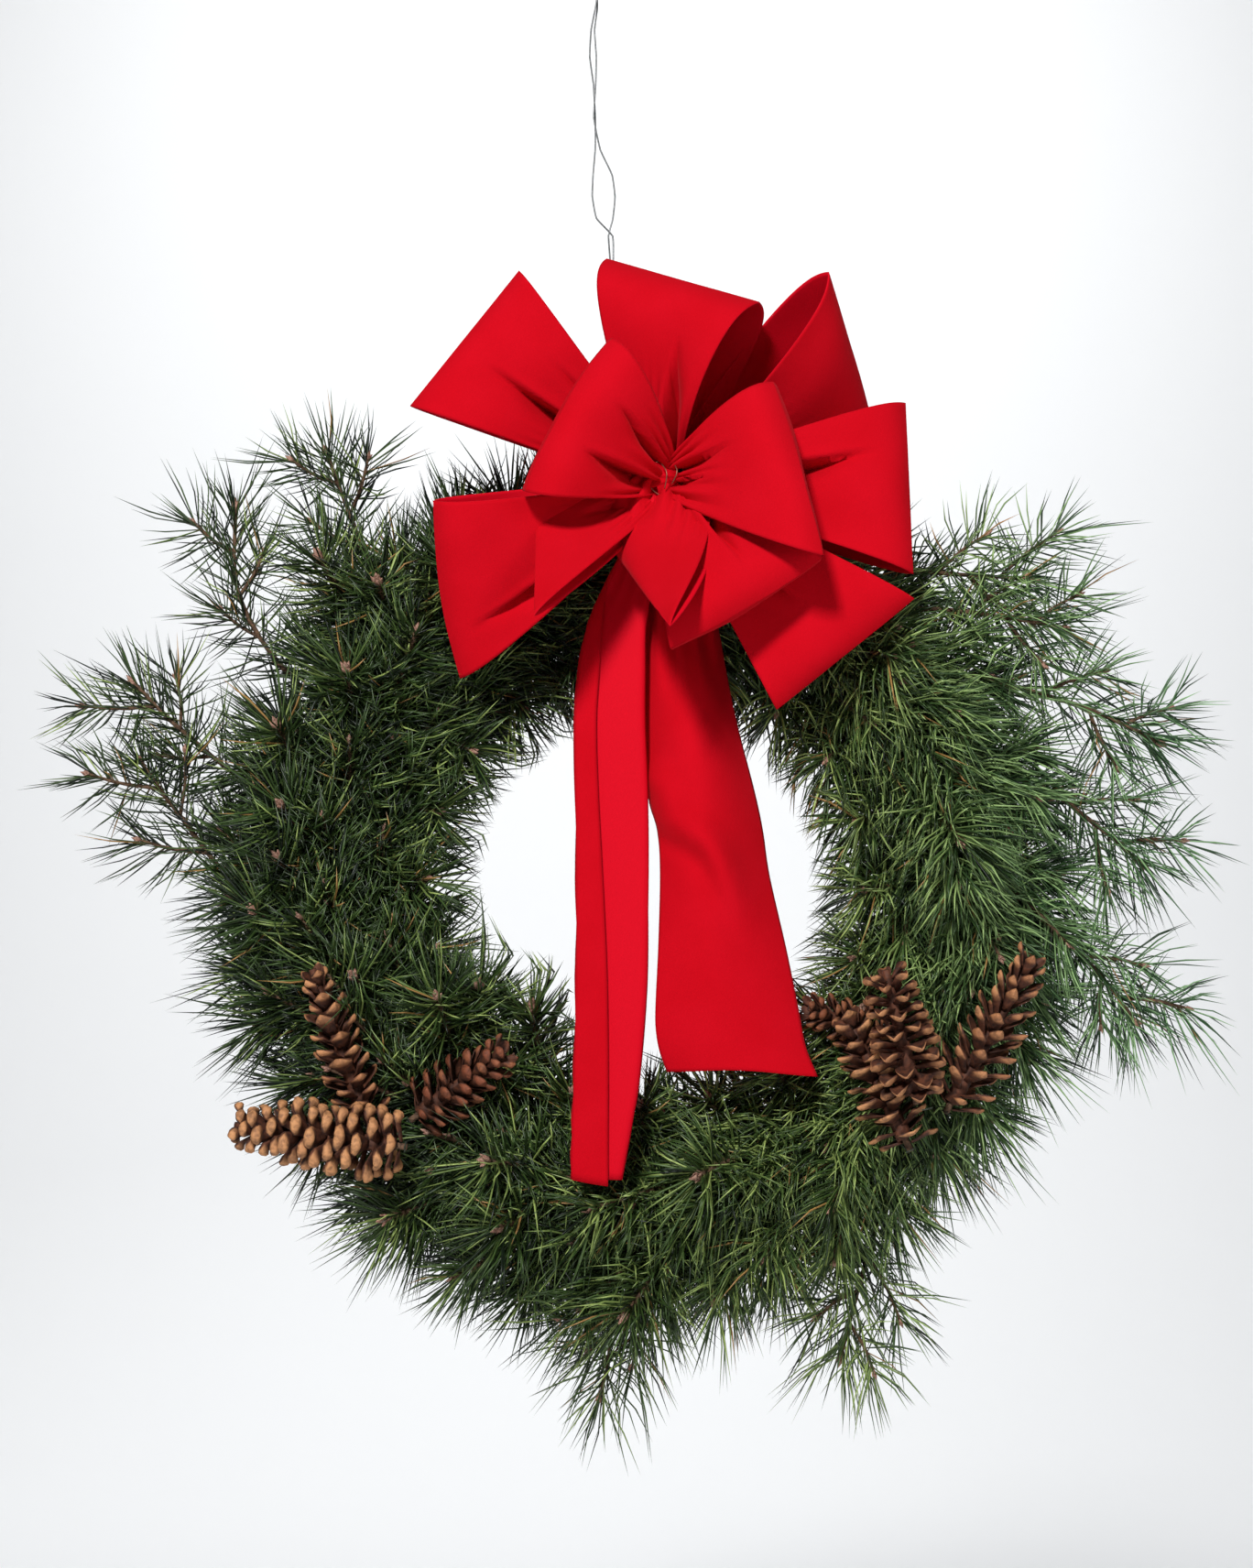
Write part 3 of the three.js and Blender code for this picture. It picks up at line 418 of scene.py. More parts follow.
def add_needles(shape, path, first, pairs, sweeps, lengths, droop, draw):
    """Paired needles round a twig's path, from its share first to its tip."""
    at = first + (1 - first) * (1 - (1 - (np.arange(pairs) + draw.random(pairs)) / pairs) ** 1.15)
    place = at * (len(path) - 1)
    low = np.minimum(place.astype(int), len(path) - 2)
    root = path[low] + (path[low + 1] - path[low]) * (place - low)[:, None]
    along = unit(path[low + 1] - path[low])
    across = unit(np.cross(along, (0.2, 0.9, 0.35)))
    up = np.cross(along, across)
    turn = np.arange(pairs) * golden_angle + draw.normal(0, 0.25, pairs)
    radial = across * np.cos(turn)[:, None] + up * np.sin(turn)[:, None]
    tipward = ((at - first) / (1 - first)) ** 1.2
    sweep = np.radians(sweeps[0] + (sweeps[1] - sweeps[0]) * tipward + draw.normal(0, 9, pairs))
    way = along * np.cos(sweep)[:, None] + radial * np.sin(sweep)[:, None]
    around = unit(np.cross(way, draw.normal(size=(pairs, 3))))
    length = draw.uniform(*lengths, pairs)
    bend = 0.50 * along + (0, 0, -droop) + draw.normal(0, 0.20, (pairs, 3))
    root, around, way, bend, length = (
        np.repeat(each, 2, axis=0) for each in (root, around, way, bend, length))
    around *= np.tile([1, -1], pairs)[:, None]
    way += around * draw.uniform(0.04, 0.13, 2 * pairs)[:, None]
    bend += draw.normal(0, 0.09, (2 * pairs, 3))
    length *= draw.uniform(0.94, 1.04, 2 * pairs)
    share = np.array([0, 0.6, 1])[:, None]
    lines = bent_clear(root[:, None] + length[:, None, None] * (
        way[:, None] * share + bend[:, None] * 0.5 * share ** 2))
    keep = clear_of_cones(lines, draw)
    lines, around = lines[keep], around[keep]
    number = len(lines)
    if not number:
        return
    ahead = unit(np.diff(lines, axis=1))
    side = unit(around[:, None] - ahead * (ahead * around[:, None]).sum(-1, keepdims=True))
    upward = np.cross(ahead, side)
    loose = np.clip((np.hypot(lines[:, 1, 0], lines[:, 1, 2]) - 0.24) / 0.05, 0, 1)
    slim = (1 - 0.25 * loose) * draw.uniform(0.85, 1.15, number)
    thick = needle_radius * np.array([0.85, 1]) * slim[:, None]
    turns = 2 * np.pi * np.arange(3)[:, None] / 3
    rings = lines[:, :2, None] + thick[:, :, None, None] * (
        side[:, :, None] * np.cos(turns) + upward[:, :, None] * np.sin(turns))
    vertices = np.concatenate([rings.reshape(number, 6, 3), lines[:, 2:3]], axis=1)
    quads = [[k, (k + 1) % 3, 3 + (k + 1) % 3, 3 + k] for k in range(3)]
    triangles = [[3 + k, 3 + (k + 1) % 3, 6] for k in range(3)]
    start = (np.arange(number) * 7)[:, None, None]
    # Painted shade: needles near the ring are darkened. The left side is darkened and the right lightened,
    # as painted light and shade.
    painted_shade_deep_in = np.clip(1 + lines[:, 1, 1] / 0.05, 0, 1)
    lit_side = 0.18 * np.clip(lines[:, 1, 0] / 0.2, -1, 1)
    shade = np.clip(draw.normal(0.48, 0.29, number) + lit_side - 0.75 * painted_shade_deep_in, 0, 1)
    dry = (draw.random(number) < tan_share).astype(float)
    # The tint: how light the needle is (a random tone with painted shade deep in the wreath and a painted
    # fall from light on the right to shade on the left), the share along it, and whether it is dry.
    tint = np.stack([np.repeat(shade, 7), np.tile(np.repeat([0, 0.6, 1], [3, 3, 1]), number),
                     np.repeat(dry, 7)], -1)
    shape.add(vertices, start + np.array(quads), start + np.array(triangles), 0, tint)


def add_bud(shape, place, way, size, draw):
    """A cluster of pointed buds at a twig's tip."""
    way = unit(way)
    side = unit(np.cross(way, (0.3, 0.5, 0.8)))
    up = np.cross(way, side)
    for number in range(5):
        turn = number * 2 * np.pi / 4 + draw.uniform(-0.4, 0.4)
        lean = 0 if number == 4 else 0.5
        out = unit(way + lean * (side * math.cos(turn) + up * math.sin(turn)))
        length = size * (1 if number == 4 else draw.uniform(0.55, 0.8))
        path = place + out * length * np.array([0, 0.25, 0.55, 0.85, 1])[:, None]
        radii = 0.24 * length * np.array([0.6, 1, 0.85, 0.35, 0.05])
        shape.tube(path, radii, 5, 2, (draw.random(), 0, 0))


def add_twig(shape, kind, places, droop, draw):
    """A woody twig along its places, with its needles and its bud. Returns its smooth path."""
    radii, first, sweeps, lengths, density, bud = twig_kinds[kind]
    path = bent_clear(smooth_path(places, 6))
    thick = np.linspace(radii[0], radii[1], len(path))
    uneven = 1 + 0.12 * np.sin(np.arange(len(path)) * 1.9 + draw.random() * 6)
    shape.tube(path, thick * uneven, 6, 1, (draw.random(), 0, 0))
    length = max(path_length(path) * (1 - first), 0.03)
    pairs = int(density * needles_per_metre * length) // 2
    add_needles(shape, path, first, pairs, sweeps, lengths, droop, draw)
    add_bud(shape, path[-1], path[-1] - path[-2], bud, draw)
    return path


def on_bundle(start, places):
    """Places on a bundle that starts at this angle, pressed back where they are behind the bow."""
    return [pressed(polar(radius, start - degrees, depth)) for degrees, radius, depth in places]


def tint_parts(tree):
    """A node that gives a mesh's tint in its three values."""
    parted = add_node(tree, "SeparateColor")
    join(tree, (add_node(tree, "Attribute", attribute_name="tint"), "Color", parted, "Color"))
    return parted


needle_material, tree, shader = new_material("pine_needles", Roughness=0.42)
parted = tint_parts(tree)
greens = add_node(tree, "ValToRGB")
greens.color_ramp.elements[0].color = (0.003, 0.010, 0.003, 1)
greens.color_ramp.elements[1].color = (0.38, 0.49, 0.14, 1)
greens.color_ramp.elements.new(0.57).color = (0.060, 0.112, 0.026, 1)
place_node = add_node(tree, "TexCoord")
place_parts = add_node(tree, "SeparateXYZ")
right_share = add_node(tree, "MapRange", {"From Min": 0.16, "From Max": 0.36})
blue_side = add_node(tree, "Mix", {"B": (0.72, 1.0, 1.6, 1)}, data_type="RGBA", blend_type="MULTIPLY")
dry_mix = add_node(tree, "Mix", {"B": (0.40, 0.22, 0.07, 1)}, data_type="RGBA")
sheath = add_node(tree, "Mix", {"B": (0.16, 0.10, 0.05, 1)}, data_type="RGBA")
sheath_share = add_node(tree, "MapRange", {"From Max": 0.12, "To Min": 0.9, "To Max": 0.0})
join(tree, (parted, "Red", greens, "Fac"), (place_node, "Object", place_parts, "Vector"),
     (place_parts, "X", right_share, "Value"),
     (right_share, "Result", blue_side, "Factor"), (greens, "Color", blue_side, "A"),
     (parted, "Blue", dry_mix, "Factor"), (blue_side, "Result", dry_mix, "A"),
     (parted, "Green", sheath_share, "Value"), (sheath_share, "Result", sheath, "Factor"),
     (dry_mix, "Result", sheath, "A"), (sheath, "Result", shader, "Base Color"))

bark, tree, shader = new_material("pine_bark", Roughness=0.85)
add_mottle(tree, shader, (0.05, 0.027, 0.016), (0.20, 0.11, 0.06), 420, 0.0012, 0.6)
bud_material, tree, shader = new_material("pine_buds", Roughness=0.7)
add_mottle(tree, shader, (0.20, 0.075, 0.045), (0.55, 0.33, 0.25), 700, 0.0008, 0.4)

for bundle in range(bundle_count):
    draw = np.random.default_rng(700 + bundle)
    start = first_bundle - bundle_step * bundle
    droop = 0.10 + 0.30 * max(0.0, math.cos(math.radians(start - 18)))
    shape = Shape()
    stem = on_bundle(start, stem_places)
    stem_path = add_twig(shape, "stem", stem, droop, draw)
    for places in body_twigs:
        add_twig(shape, "main", on_bundle(start, places), droop, draw)
    for further in stray_twigs.get(bundle, ()):
        places = [stem[4]] + [polar(*place) for place in further]
        stray = add_twig(shape, "stray", places, droop, draw)
        ahead = unit(stray[-1] - stray[len(stray) // 2])
        for order, share in enumerate((0.50, 0.68, 0.84)):
            root = stray[int(share * (len(stray) - 1))]
            aside = np.cross(ahead, (0, 1, 0)) * (-1) ** order + (0, draw.uniform(-0.7, 0.1), 0)
            tip = root + (0.8 * ahead + 0.75 * aside) * draw.uniform(0.024, 0.040)
            middle = 0.5 * (root + tip) + 0.002 * aside
            add_twig(shape, "stray side", [root, middle, tip], droop, draw)
    for place in facing_shoots.get(bundle, ()):
        tip = np.array(place) * 0.001
        root = stem_path[int(len(stem_path) * 0.62)]
        middle = root * 0.45 + tip * 0.55 + (0, 0.012, 0)
        add_twig(shape, "facing", [root, middle, tip], facing_droop, draw)
    for order in range(10):
        low = int((0.38 + 0.06 * order) * (len(stem_path) - 1))
        root = stem_path[low]
        along = unit(stem_path[low + 1] - stem_path[low])
        outward = unit(root * (1, 0, 1))
        turn = order * golden_angle + draw.uniform(-0.5, 0.5)
        radial = outward * math.cos(turn) - (0, 0.9 * abs(math.sin(turn)), 0)
        way = unit(along * draw.uniform(0.7, 1.0) + radial * draw.uniform(0.55, 0.9))
        reach = draw.uniform(0.045, 0.088)
        places = [root, root + way * reach * 0.5, root + (way * 0.9 + along * 0.25) * reach]
        add_twig(shape, "side", [pressed(place) for place in places], droop, draw)
    solid = "spray_%02d" % (bundle + 1)
    shape.make(solid + "_drawn", [needle_material, bark, bud_material], solid)

# Cones: seven open white-pine cones of stiff woody scales in spirals, dark inside, their own brown
# darkened further there as painted shade, with thick tan tips. Each is tied on by its stalk. Scales are
# cupped plates drawn from a formula.
scale_rows, scale_columns = 8, 6
# Each cone's scales: their count, how far they open at base and tip in degrees, their half width for
# their length, how they curl and cup, how pointed, how thick at the tip and how dark their tips are, partly
# their own colour and partly painted shade for cones that lie in the needles' shadow.
cone_looks = [
    (46, 58, 28, 0.37, 0.10, 0.25, 1.1, 0.0017, 0.32), (78, 82, 44, 0.34, 0.10, 0.30, 0.25, 0.0034, 0.03),
    (52, 72, 40, 0.27, 0.25, 0.35, 0.6, 0.0018, 0.95), (56, 104, 62, 0.30, 0.10, 0.75, 0.0, 0.0012, 0.35),
    (52, 66, 30, 0.23, 0.15, 0.35, 0.9, 0.0016, 0.42), (38, 84, 40, 0.44, 0.05, 0.28, 1.2, 0.0012, 0.12),
    (46, 68, 40, 0.28, 0.20, 0.35, 0.5, 0.0016, 0.8),
]


def plate_faces(rows, columns):
    """A closed plate's quads over two layers of a grid: the first layer's with the rim's, and the
    second layer's."""
    index = np.arange(rows * columns).reshape(rows, columns)
    a, b, c, d = index[:-1, :-1], index[:-1, 1:], index[1:, 1:], index[1:, :-1]
    rim = np.concatenate([index[0], index[1:, -1], index[-1, -2::-1], index[-2:0:-1, 0]])
    after = np.roll(rim, -1)
    first = np.concatenate([np.stack([a, b, c, d], -1).reshape(-1, 4),
                            np.stack([rim + index.size, after + index.size, after, rim], -1)])
    return first, np.stack([a, d, c, b], -1).reshape(-1, 4) + index.size


def scale_plate(length, half_width, curl, cup, pointed, thickness):
    """A scale's points: out along x, across along y, its outer face towards -z. With each point's
    share of the way to the scale's tip."""
    u = np.linspace(0, 1, scale_rows)[:, None] ** 0.72
    v = np.linspace(-1, 1, scale_columns)
    widen = 0.42 + 0.58 * np.clip(u / 0.66, 0, 1) ** 1.3
    narrow = np.clip(1 - (np.clip(u - 0.66, 0, 1) / 0.345) ** (2.3 - 1.1 * pointed), 0.02, 1)
    narrow = narrow ** (0.5 + 0.35 * pointed)
    x = u * length
    y = v * half_width * widen * narrow
    lift = length * (curl * u ** 2 - 0.42 * curl * u) + cup * half_width * v ** 2 * widen * narrow
    thick = 0.0007 + thickness * np.exp(-((u - 0.84) / 0.15) ** 2) * (1 - 0.6 * v ** 2)
    outer = np.stack(np.broadcast_arrays(x * 0.985, y * 0.96, lift - thick), -1)
    inner = np.stack(np.broadcast_arrays(x, y, lift), -1)
    outward = np.repeat(u.ravel(), scale_columns)
    return (np.concatenate([outer.reshape(-1, 3), inner.reshape(-1, 3)]),
            np.concatenate([outward, 0.86 * outward ** 3]))


cone_material, tree, shader = new_material("cone_scales", Roughness=0.72)
# The scales' own dark brown, made darker still as painted shade inside the cone.
scale_colour_and_shade = add_mottle(tree, shader, (0.030, 0.009, 0.005), (0.14, 0.041, 0.016), 260, 0.0009, 0.3)
parted = tint_parts(tree)
tip_share = add_node(tree, "MapRange", {"From Min": 0.58, "From Max": 0.80})
tip_colour = add_node(tree, "Mix", {"A": (0.62, 0.29, 0.12, 1), "B": (0.23, 0.059, 0.023, 1)},
                      data_type="RGBA")
tip_mix = add_node(tree, "Mix", data_type="RGBA")
worn_share = add_node(tree, "MapRange", {"From Min": 0.36, "From Max": 0.58, "To Min": 0.45})
worn_tip = add_node(tree, "Math", operation="MULTIPLY")
join(tree, (parted, "Red", tip_share, "Value"), (parted, "Green", tip_colour, "Factor"),
     (tip_colour, "Result", tip_mix, "B"),
     (scale_colour_and_shade, "Colour", tip_mix, "A"), (tip_mix, "Result", shader, "Base Color"),
     (scale_colour_and_shade, "Height", worn_share, "Value"), (tip_share, "Result", worn_tip, 0),
     (worn_share, "Result", worn_tip, 1), (worn_tip, "Value", tip_mix, "Factor"))

scale_quads = np.concatenate(plate_faces(scale_rows, scale_columns))
for number, (base, tip, radius, passed) in enumerate(cone_places):
    draw = np.random.default_rng(40 + number)
    scale_count, open_base, open_tip, wide, curl, cup, pointed, thickness, tip_dark_and_painted_shade = cone_looks[number]
    base, tip, radius = np.array(base) * 0.001, np.array(tip) * 0.001, radius * 0.001
    length = np.linalg.norm(tip - base)
    axis = unit(tip - base)
    side = unit(np.cross((0, 1, 0), axis))
    lift = np.cross(axis, side)
    shape = Shape()
    core = base + axis * length * np.linspace(0, 0.94, 12)[:, None]
    shape.tube(core, np.linspace(0.0052, 0.0022, 12), 10)
    shape.tube(base + axis * np.linspace(-0.008, 0.004, 6)[:, None], 0.002, 8, 1)
    for i in range(scale_count):
        at = (i + 0.5) / scale_count
        turn = i * golden_angle + draw.uniform(-0.16, 0.16)
        radial = side * math.cos(turn) + lift * math.sin(turn)
        across = np.cross(axis, radial)
        shrink = 1 - 0.42 * at ** 1.5 - 0.25 * (1 - at) ** 6
        size = 1.08 * radius * shrink * draw.uniform(0.86, 1.06)
        opening = math.radians(open_base + (open_tip - open_base) * at ** 1.25 + draw.uniform(-9, 9))
        out = axis * math.cos(opening) + radial * math.sin(opening)
        inward = np.cross(out, across)
        half_width = size * wide * draw.uniform(0.92, 1.1)
        points, share = scale_plate(size, half_width, curl, cup, pointed, thickness)
        root = base + axis * length * (at * 0.92 - 0.05) + radial * 0.0025
        # The tint: how near the scale's tip, how dark the scale's tip is (partly painted shade), and a
        # value of its own.
        tint = np.stack([share * draw.uniform(0.93, 1.07),
                         *(np.full(len(share), value)
                           for value in (tip_dark_and_painted_shade + draw.uniform(-0.15, 0.15), draw.random()))], -1)
        shape.add(root + points @ [out, across, inward], scale_quads, tint=tint)
    solid = "cone_%d" % (number + 1)
    shape.make(solid + "_drawn", [cone_material, bark], solid)

# Bow: one length of red flocked velvet ribbon, 102 mm wide, gathered at the knot by a thin wire
# into eleven loops. Its inside shows the plain crimson weave of the reverse. The loops are bent by
# a formula, with sharp pleats out of the gather and the deep folds that the picture shows.
ribbon_half_width = 0.051
ribbon_thickness = 0.0009
loop_rows, loop_columns = 70, 44
# Each loop: where it points and how it leans, its length, roll, skew, fullness and depth, as in the
# solids, how its end bulges and how it fans out. Then its front face's folds: their place across, how
# they bend across on their way out, where they end, their depth, their width and their shaded side.
loops = [
    (146.3, 9.6, 147, -4, 3.3, 15, -82, 0, 1.05,
     [(0.00, 0.12, 0.90, 24, 0.55, 1), (-0.62, 0.12, 0.72, 12, 0.28, 1)]),
    (87, 12, 120, -27, 11, 24, -86, 0, 1.05,
     [(-0.10, -0.25, 0.76, 20, 0.50, -1), (0.60, 0.0, 0.5, 9, 0.25, -1)]),
    (37.8, 7, 137, 42, 14.3, 19, -80, 0, 1.05, [(-0.30, -0.2, 0.76, 18, 0.45, -1)]),
    (-1, 10, 144.3, -3, -4.8, 18, -86, 0, 1.05,
     [(0.22, 0.26, 0.92, 25, 0.60, -1), (-0.55, 0.1, 0.6, 10, 0.22, -1)]),
    (-43.5, 9.2, 149, 4, 7, 14, -88, 0, 1.05, [(0.05, 0.05, 0.76, 20, 0.45, -1)]),
    (209, 11, 147, -22, 15, 17, -88, 4, 1.05, [(0.25, 0.25, 0.97, 20, 0.50, 1)]),
    (209, 25, 94, 32, 36, 3, -92, 0, 0.9, [(-0.10, 0.1, 0.7, 12, 0.40, 1)]),
    (153.3, 37, 79.5, 0, 1.5, 17, -100, 6, 0.9,
     [(0.26, 0.05, 0.86, 22, 0.45, 1), (-0.45, -0.05, 0.84, 16, 0.26, 1)]),
    (-0.5, 39, 94, 0.5, -20, 17, -100, 3, 0.95,
     [(0.45, -0.05, 0.72, 12, 0.28, -1), (-0.15, 0.2, 0.5, 9, 0.2, -1)]),
    (254.8, 28, 74, 57, 47, 3, -106, 1, 0.36, [(-0.30, 0.1, 0.66, 7, 0.30, 1)]),
    (-59, 33, 108, -3, -4.5, 16, -94, 3, 1.05,
     [(0.05, 0.15, 0.90, 18, 0.34, 1), (-0.5, 0.1, 0.6, 9, 0.2, 1)]),
]


def smooth_step(value):
    """From 0 to 1, with a smooth way between."""
    value = np.clip(value, 0, 1)
    return value * value * (3 - 2 * value)


def fold_profile(apart):
    """A fold's height across: a low ridge, a sharp drop on its shaded side, and a slow rise."""
    drop = smooth_step(apart / 0.30) * np.exp(-(np.clip(apart - 0.3, 0, None) / 0.8) ** 1.5)
    return 0.15 * np.exp(-(apart / 0.5) ** 2) - drop


def loop_places(loop, number):
    """The loop's places as a grid: rows along the ribbon and columns across it."""
    points, leans, length, roll, skew, open_by, depth, bulge, fan, folds = loop
    draw = np.random.default_rng(90 + number)
    turn, lean, roll = math.radians(points), math.radians(leans), math.radians(roll)
    out = np.array([math.cos(turn) * math.cos(lean), -math.sin(lean), math.sin(turn) * math.cos(lean)])
    flat = np.array([-math.sin(turn), 0, math.cos(turn)])
    face = np.cross(out, flat)
    way = np.linspace(-1, 1, loop_rows)[:, None]
    way = np.sign(way) * np.abs(way) ** 1.25
    across = np.linspace(-1, 1, loop_columns)
    inward = np.abs(way) ** 2.2
    reach = 1 - inward
    # The small lower loop, with the least fan, lies flat at the knot and twists outwards.
    rolled = (roll * (reach if fan < 0.5 else 1 + 0 * reach))[..., None]
    sideways = flat * np.cos(rolled) + face * np.sin(rolled)
    forward = face * np.cos(rolled) - flat * np.sin(rolled)
    gathered = 0.13 + 0.87 * reach ** fan
    width = 1000 * ribbon_half_width * gathered
    front = -np.sign(way)
    fullness = 1.22 * inward / (inward + 0.07) * (1 - inward ** 2.2)
    rise = front * (open_by * fullness + 3 * np.abs(way))
    pleats = draw.integers(6, 9)
    steepness = np.sqrt(np.clip(gathered ** -2 - 1, 0, 9))
    pleat_depth = np.minimum(width * steepness / (2 * pleats), 4.2)
    pleat_depth *= (1 - smooth_step((reach - 0.12) / 0.55)) * smooth_step(reach / 0.04)
    warped = across + 0.13 * np.sin(3.3 * across + draw.uniform(0, 6)) + 0.05 * front
    wave = np.sin(math.pi * pleats * warped + 0.8 * np.sin(5 * reach + number))
    rise = rise + pleat_depth * np.arcsin(0.96 * wave) * 2 / math.pi
    flutter = (0.8 * np.sin(across * 3.1 + way * 4.2 + number)
               + 0.5 * np.sin(across * 5.3 - way * 6.1 + 2 * number))
    rise = rise + flutter * smooth_step(reach / 0.5)
    for middle, bend, ends, deep, wide, shaded in folds:
        window = smooth_step(reach / 0.12) * smooth_step((ends - reach) / (0.55 * ends))
        apart = shaded * (across - middle - bend * reach) / (wide * np.clip(1.1 - reach / ends, 0.12, 1))
        rise = rise + deep * window * fold_profile(apart) * (front > 0)
    skewed = math.tan(math.radians(skew)) * across * width * reach
    bulged = bulge * (1 - across ** 2) * smooth_step(reach)
    gather = np.array([1000 * knot[0], depth, 1000 * knot[2]])
    return 0.001 * (gather + out * (length * reach + skewed + bulged)[..., None]
                    + sideways * (across * width)[..., None] + forward * rise[..., None])


velvet, tree, shader = new_material("velvet_ribbon", Roughness=0.95, Sheen_Weight=0.12, Sheen_Roughness=0.4,
                                    Sheen_Tint=(1.0, 0.10, 0.12, 1), Specular_IOR_Level=0.05)
coords = add_node(tree, "TexCoord")
nap = add_node(tree, "TexNoise", {"Scale": 1900, "Detail": 2})
nap_wide = add_node(tree, "TexNoise", {"Scale": 34})
nap_mix = add_node(tree, "Mix", {"A": (0.50, 0.0015, 0.007, 1), "B": (0.58, 0.003, 0.012, 1)},
                   data_type="RGBA")
nap_bump = add_node(tree, "Bump", {"Distance": 0.00035, "Strength": 0.5})
join(tree, (coords, "Object", nap, "Vector"), (coords, "Object", nap_wide, "Vector"),
     (nap_wide, "Fac", nap_mix, "Factor"), (nap_mix, "Result", shader, "Base Color"),
     (nap, "Fac", nap_bump, "Height"), (nap_bump, "Normal", shader, "Normal"))

reverse, tree, shader = new_material("ribbon_reverse", Roughness=0.7, Base_Color=(0.62, 0.0021, 0.013, 1),
                                     Specular_IOR_Level=0.06)
coords = add_node(tree, "TexCoord")
weave = add_node(tree, "TexVoronoi", {"Scale": 1400})
weave_bump = add_node(tree, "Bump", {"Distance": 0.0002, "Strength": 0.4})
join(tree, (coords, "Object", weave, "Vector"), (weave, "Distance", weave_bump, "Height"),
     (weave_bump, "Normal", shader, "Normal"))


def add_cloth(shape, grid, facing):
    """A closed sheet of ribbon over a grid of places. facing is the material where its normal
    points: 0 is the velvet and 1 the reverse. The other side has the other."""
    normal = unit(np.cross(np.gradient(grid, axis=1), np.gradient(grid, axis=0)))
    sides = [grid + normal * apart for apart in (ribbon_thickness / 2, -ribbon_thickness / 2)]
    first, second = plate_faces(*grid.shape[:2])
    shape.add(sides, first, material=facing)
    shape.add((), second - 2 * grid[..., 0].size, material=1 - facing)


bow_shape = Shape()
for number, loop in enumerate(loops):
    grid = loop_places(loop, number)
    add_cloth(bow_shape, grid, 1)
bow = bow_shape.make("bow_drawn", [velvet, reverse], "bow_loops")

# Knot: the gathered middle of the bow, a short column of tight folds, and the thin bare wire that
# draws it in and ties it to the ring behind.
knot_shape = Shape()
knot_sides, knot_rows = 48, 15
turns = np.linspace(0, 2 * np.pi, knot_sides, endpoint=False)
levels = np.linspace(-1, 1, knot_rows)[:, None]
pinch = (0.0065 + 0.003 * np.abs(levels) ** 1.5) * (
    1 + 0.16 * np.sin(turns * 9) + 0.07 * np.sin(turns * 17 + 1))
column = knot + np.stack([pinch * np.cos(turns), 0.019 * levels + 0 * turns, pinch * np.sin(turns)], -1)
quads, ends = ring_faces(knot_rows, knot_sides)
knot_shape.add(column, quads[:, [0, 3, 2, 1]], ends[:, [0, 2, 1]])
bow_knot = knot_shape.make("bow_knot_drawn", [velvet], "bow_loops")

copper, tree, shader = new_material("bow_wire", Metallic=0.9, Roughness=0.4,
                                    Base_Color=(0.30, 0.13, 0.085, 1))
wire_shape = Shape()
bow_wire_radius, tie_radius = 0.00035, 0.00045
coil = [(knot[0] + 0.0108 * math.cos(a), -0.112 + 0.0012 * a / 6.28, knot[2] + 0.0108 * math.sin(a))
        for a in np.arange(-1.2, 11, 0.45)]
wire_shape.tube(smooth_path(coil, 2), bow_wire_radius, 6)
ends = [[(0.003, -0.118, 0.244), (0.006, -0.121, 0.238), (0.005, -0.119, 0.229)],
        [(0.009, -0.118, 0.232), (0.012, -0.120, 0.239), (0.010, -0.117, 0.245)]]
for end in ends:
    wire_shape.tube(smooth_path(end, 4), bow_wire_radius, 6)
hook = [polar(ring_radius_mm + 2.7 * math.cos(a), 86, -2.7 * math.sin(a))
        for a in map(math.radians, (150, 195, 240, 285, 330))]
back_route = hook + [polar(185, 86, -7), (0.006, -0.048, 0.231), (0.006, -0.074, 0.237)]
wire_shape.tube(smooth_path(back_route, 4), tie_radius, 6)
wire_shape.make("bow_wire_drawn", [copper], "bow_wire")

# Tails: the ribbon's two ends, gathered under the knot and hanging over the hole. The right one hangs
# open in a shallow arch with one soft slanting fold. The left one is folded lengthwise in a flat Z:
# its narrow front leaf shows the velvet and the middle leaf the reverse, and a third hides.
tail_columns = 44
# Each place of the right tail, in millimetres: height, left edge, right edge, depth and arch.
right_places = [
    (226, 7, 19, -80.4, 2), (204, 2, 28, -73, 5), (176, -2.5, 35, -69, 9), (148, -4, 41.2, -72, 14),
    (118, -3.5, 47.2, -78, 20), (94, -2.5, 53, -82, 24), (66, -1, 60.8, -86, 25), (48, 1, 65.5, -88, 24),
    (31, 6.2, 69, -90, 22), (6, 8.3, 73.1, -92, 20), (-36, 8.2, 83.5, -93, 16), (-72, 7.3, 91.5, -94, 13),
    (-93, 7.8, 96, -94.5, 11), (-109.5, 10, 103.2, -95, 9),
]
right_fold = [(-4, 56), (0.7, 48), (7.6, 31), (32, 15), (47, -14), (64, -36)]
# Each place of the left tail: height, left fold, front leaf's edge, right fold, depth of the
# middle leaf, and how far the front leaf stands before it and the hidden leaf behind it.
left_places = [
    (226, -5, -3, 5, -80.3, 2, 2), (204, -17, -15, 2, -76, 3, 3), (178, -29.5, -27.6, -2, -80, 1.9, 3.5),
    (152, -38.8, -29.8, -4.4, -85, 1.8, 4), (124, -42.8, -30.2, -3.8, -89, 1.8, 5),
    (94, -43.9, -31, -3, -91, 1.8, 5), (54, -43.2, -29.5, -1.1, -91, 1.8, 5),
    (-1, -42, -26, 0.3, -91, 1.8, 5), (-56, -41, -22.5, 0.2, -91, 1.8, 5),
    (-112, -40.2, -20, -2.9, -91, 1.8, 5), (-140, -39.7, -18.6, -6, -91, 1.8, 5),
    (-174, -39.1, -17.2, -11, -91, 1.8, 5),
]


rows = smooth_path(right_places, 7)
height, left, right, depth, arch = (rows[:, i:i + 1] for i in range(5))
share = np.linspace(0, 1, len(rows))[:, None]
across = np.linspace(-1, 1, tail_columns)
width = right - left
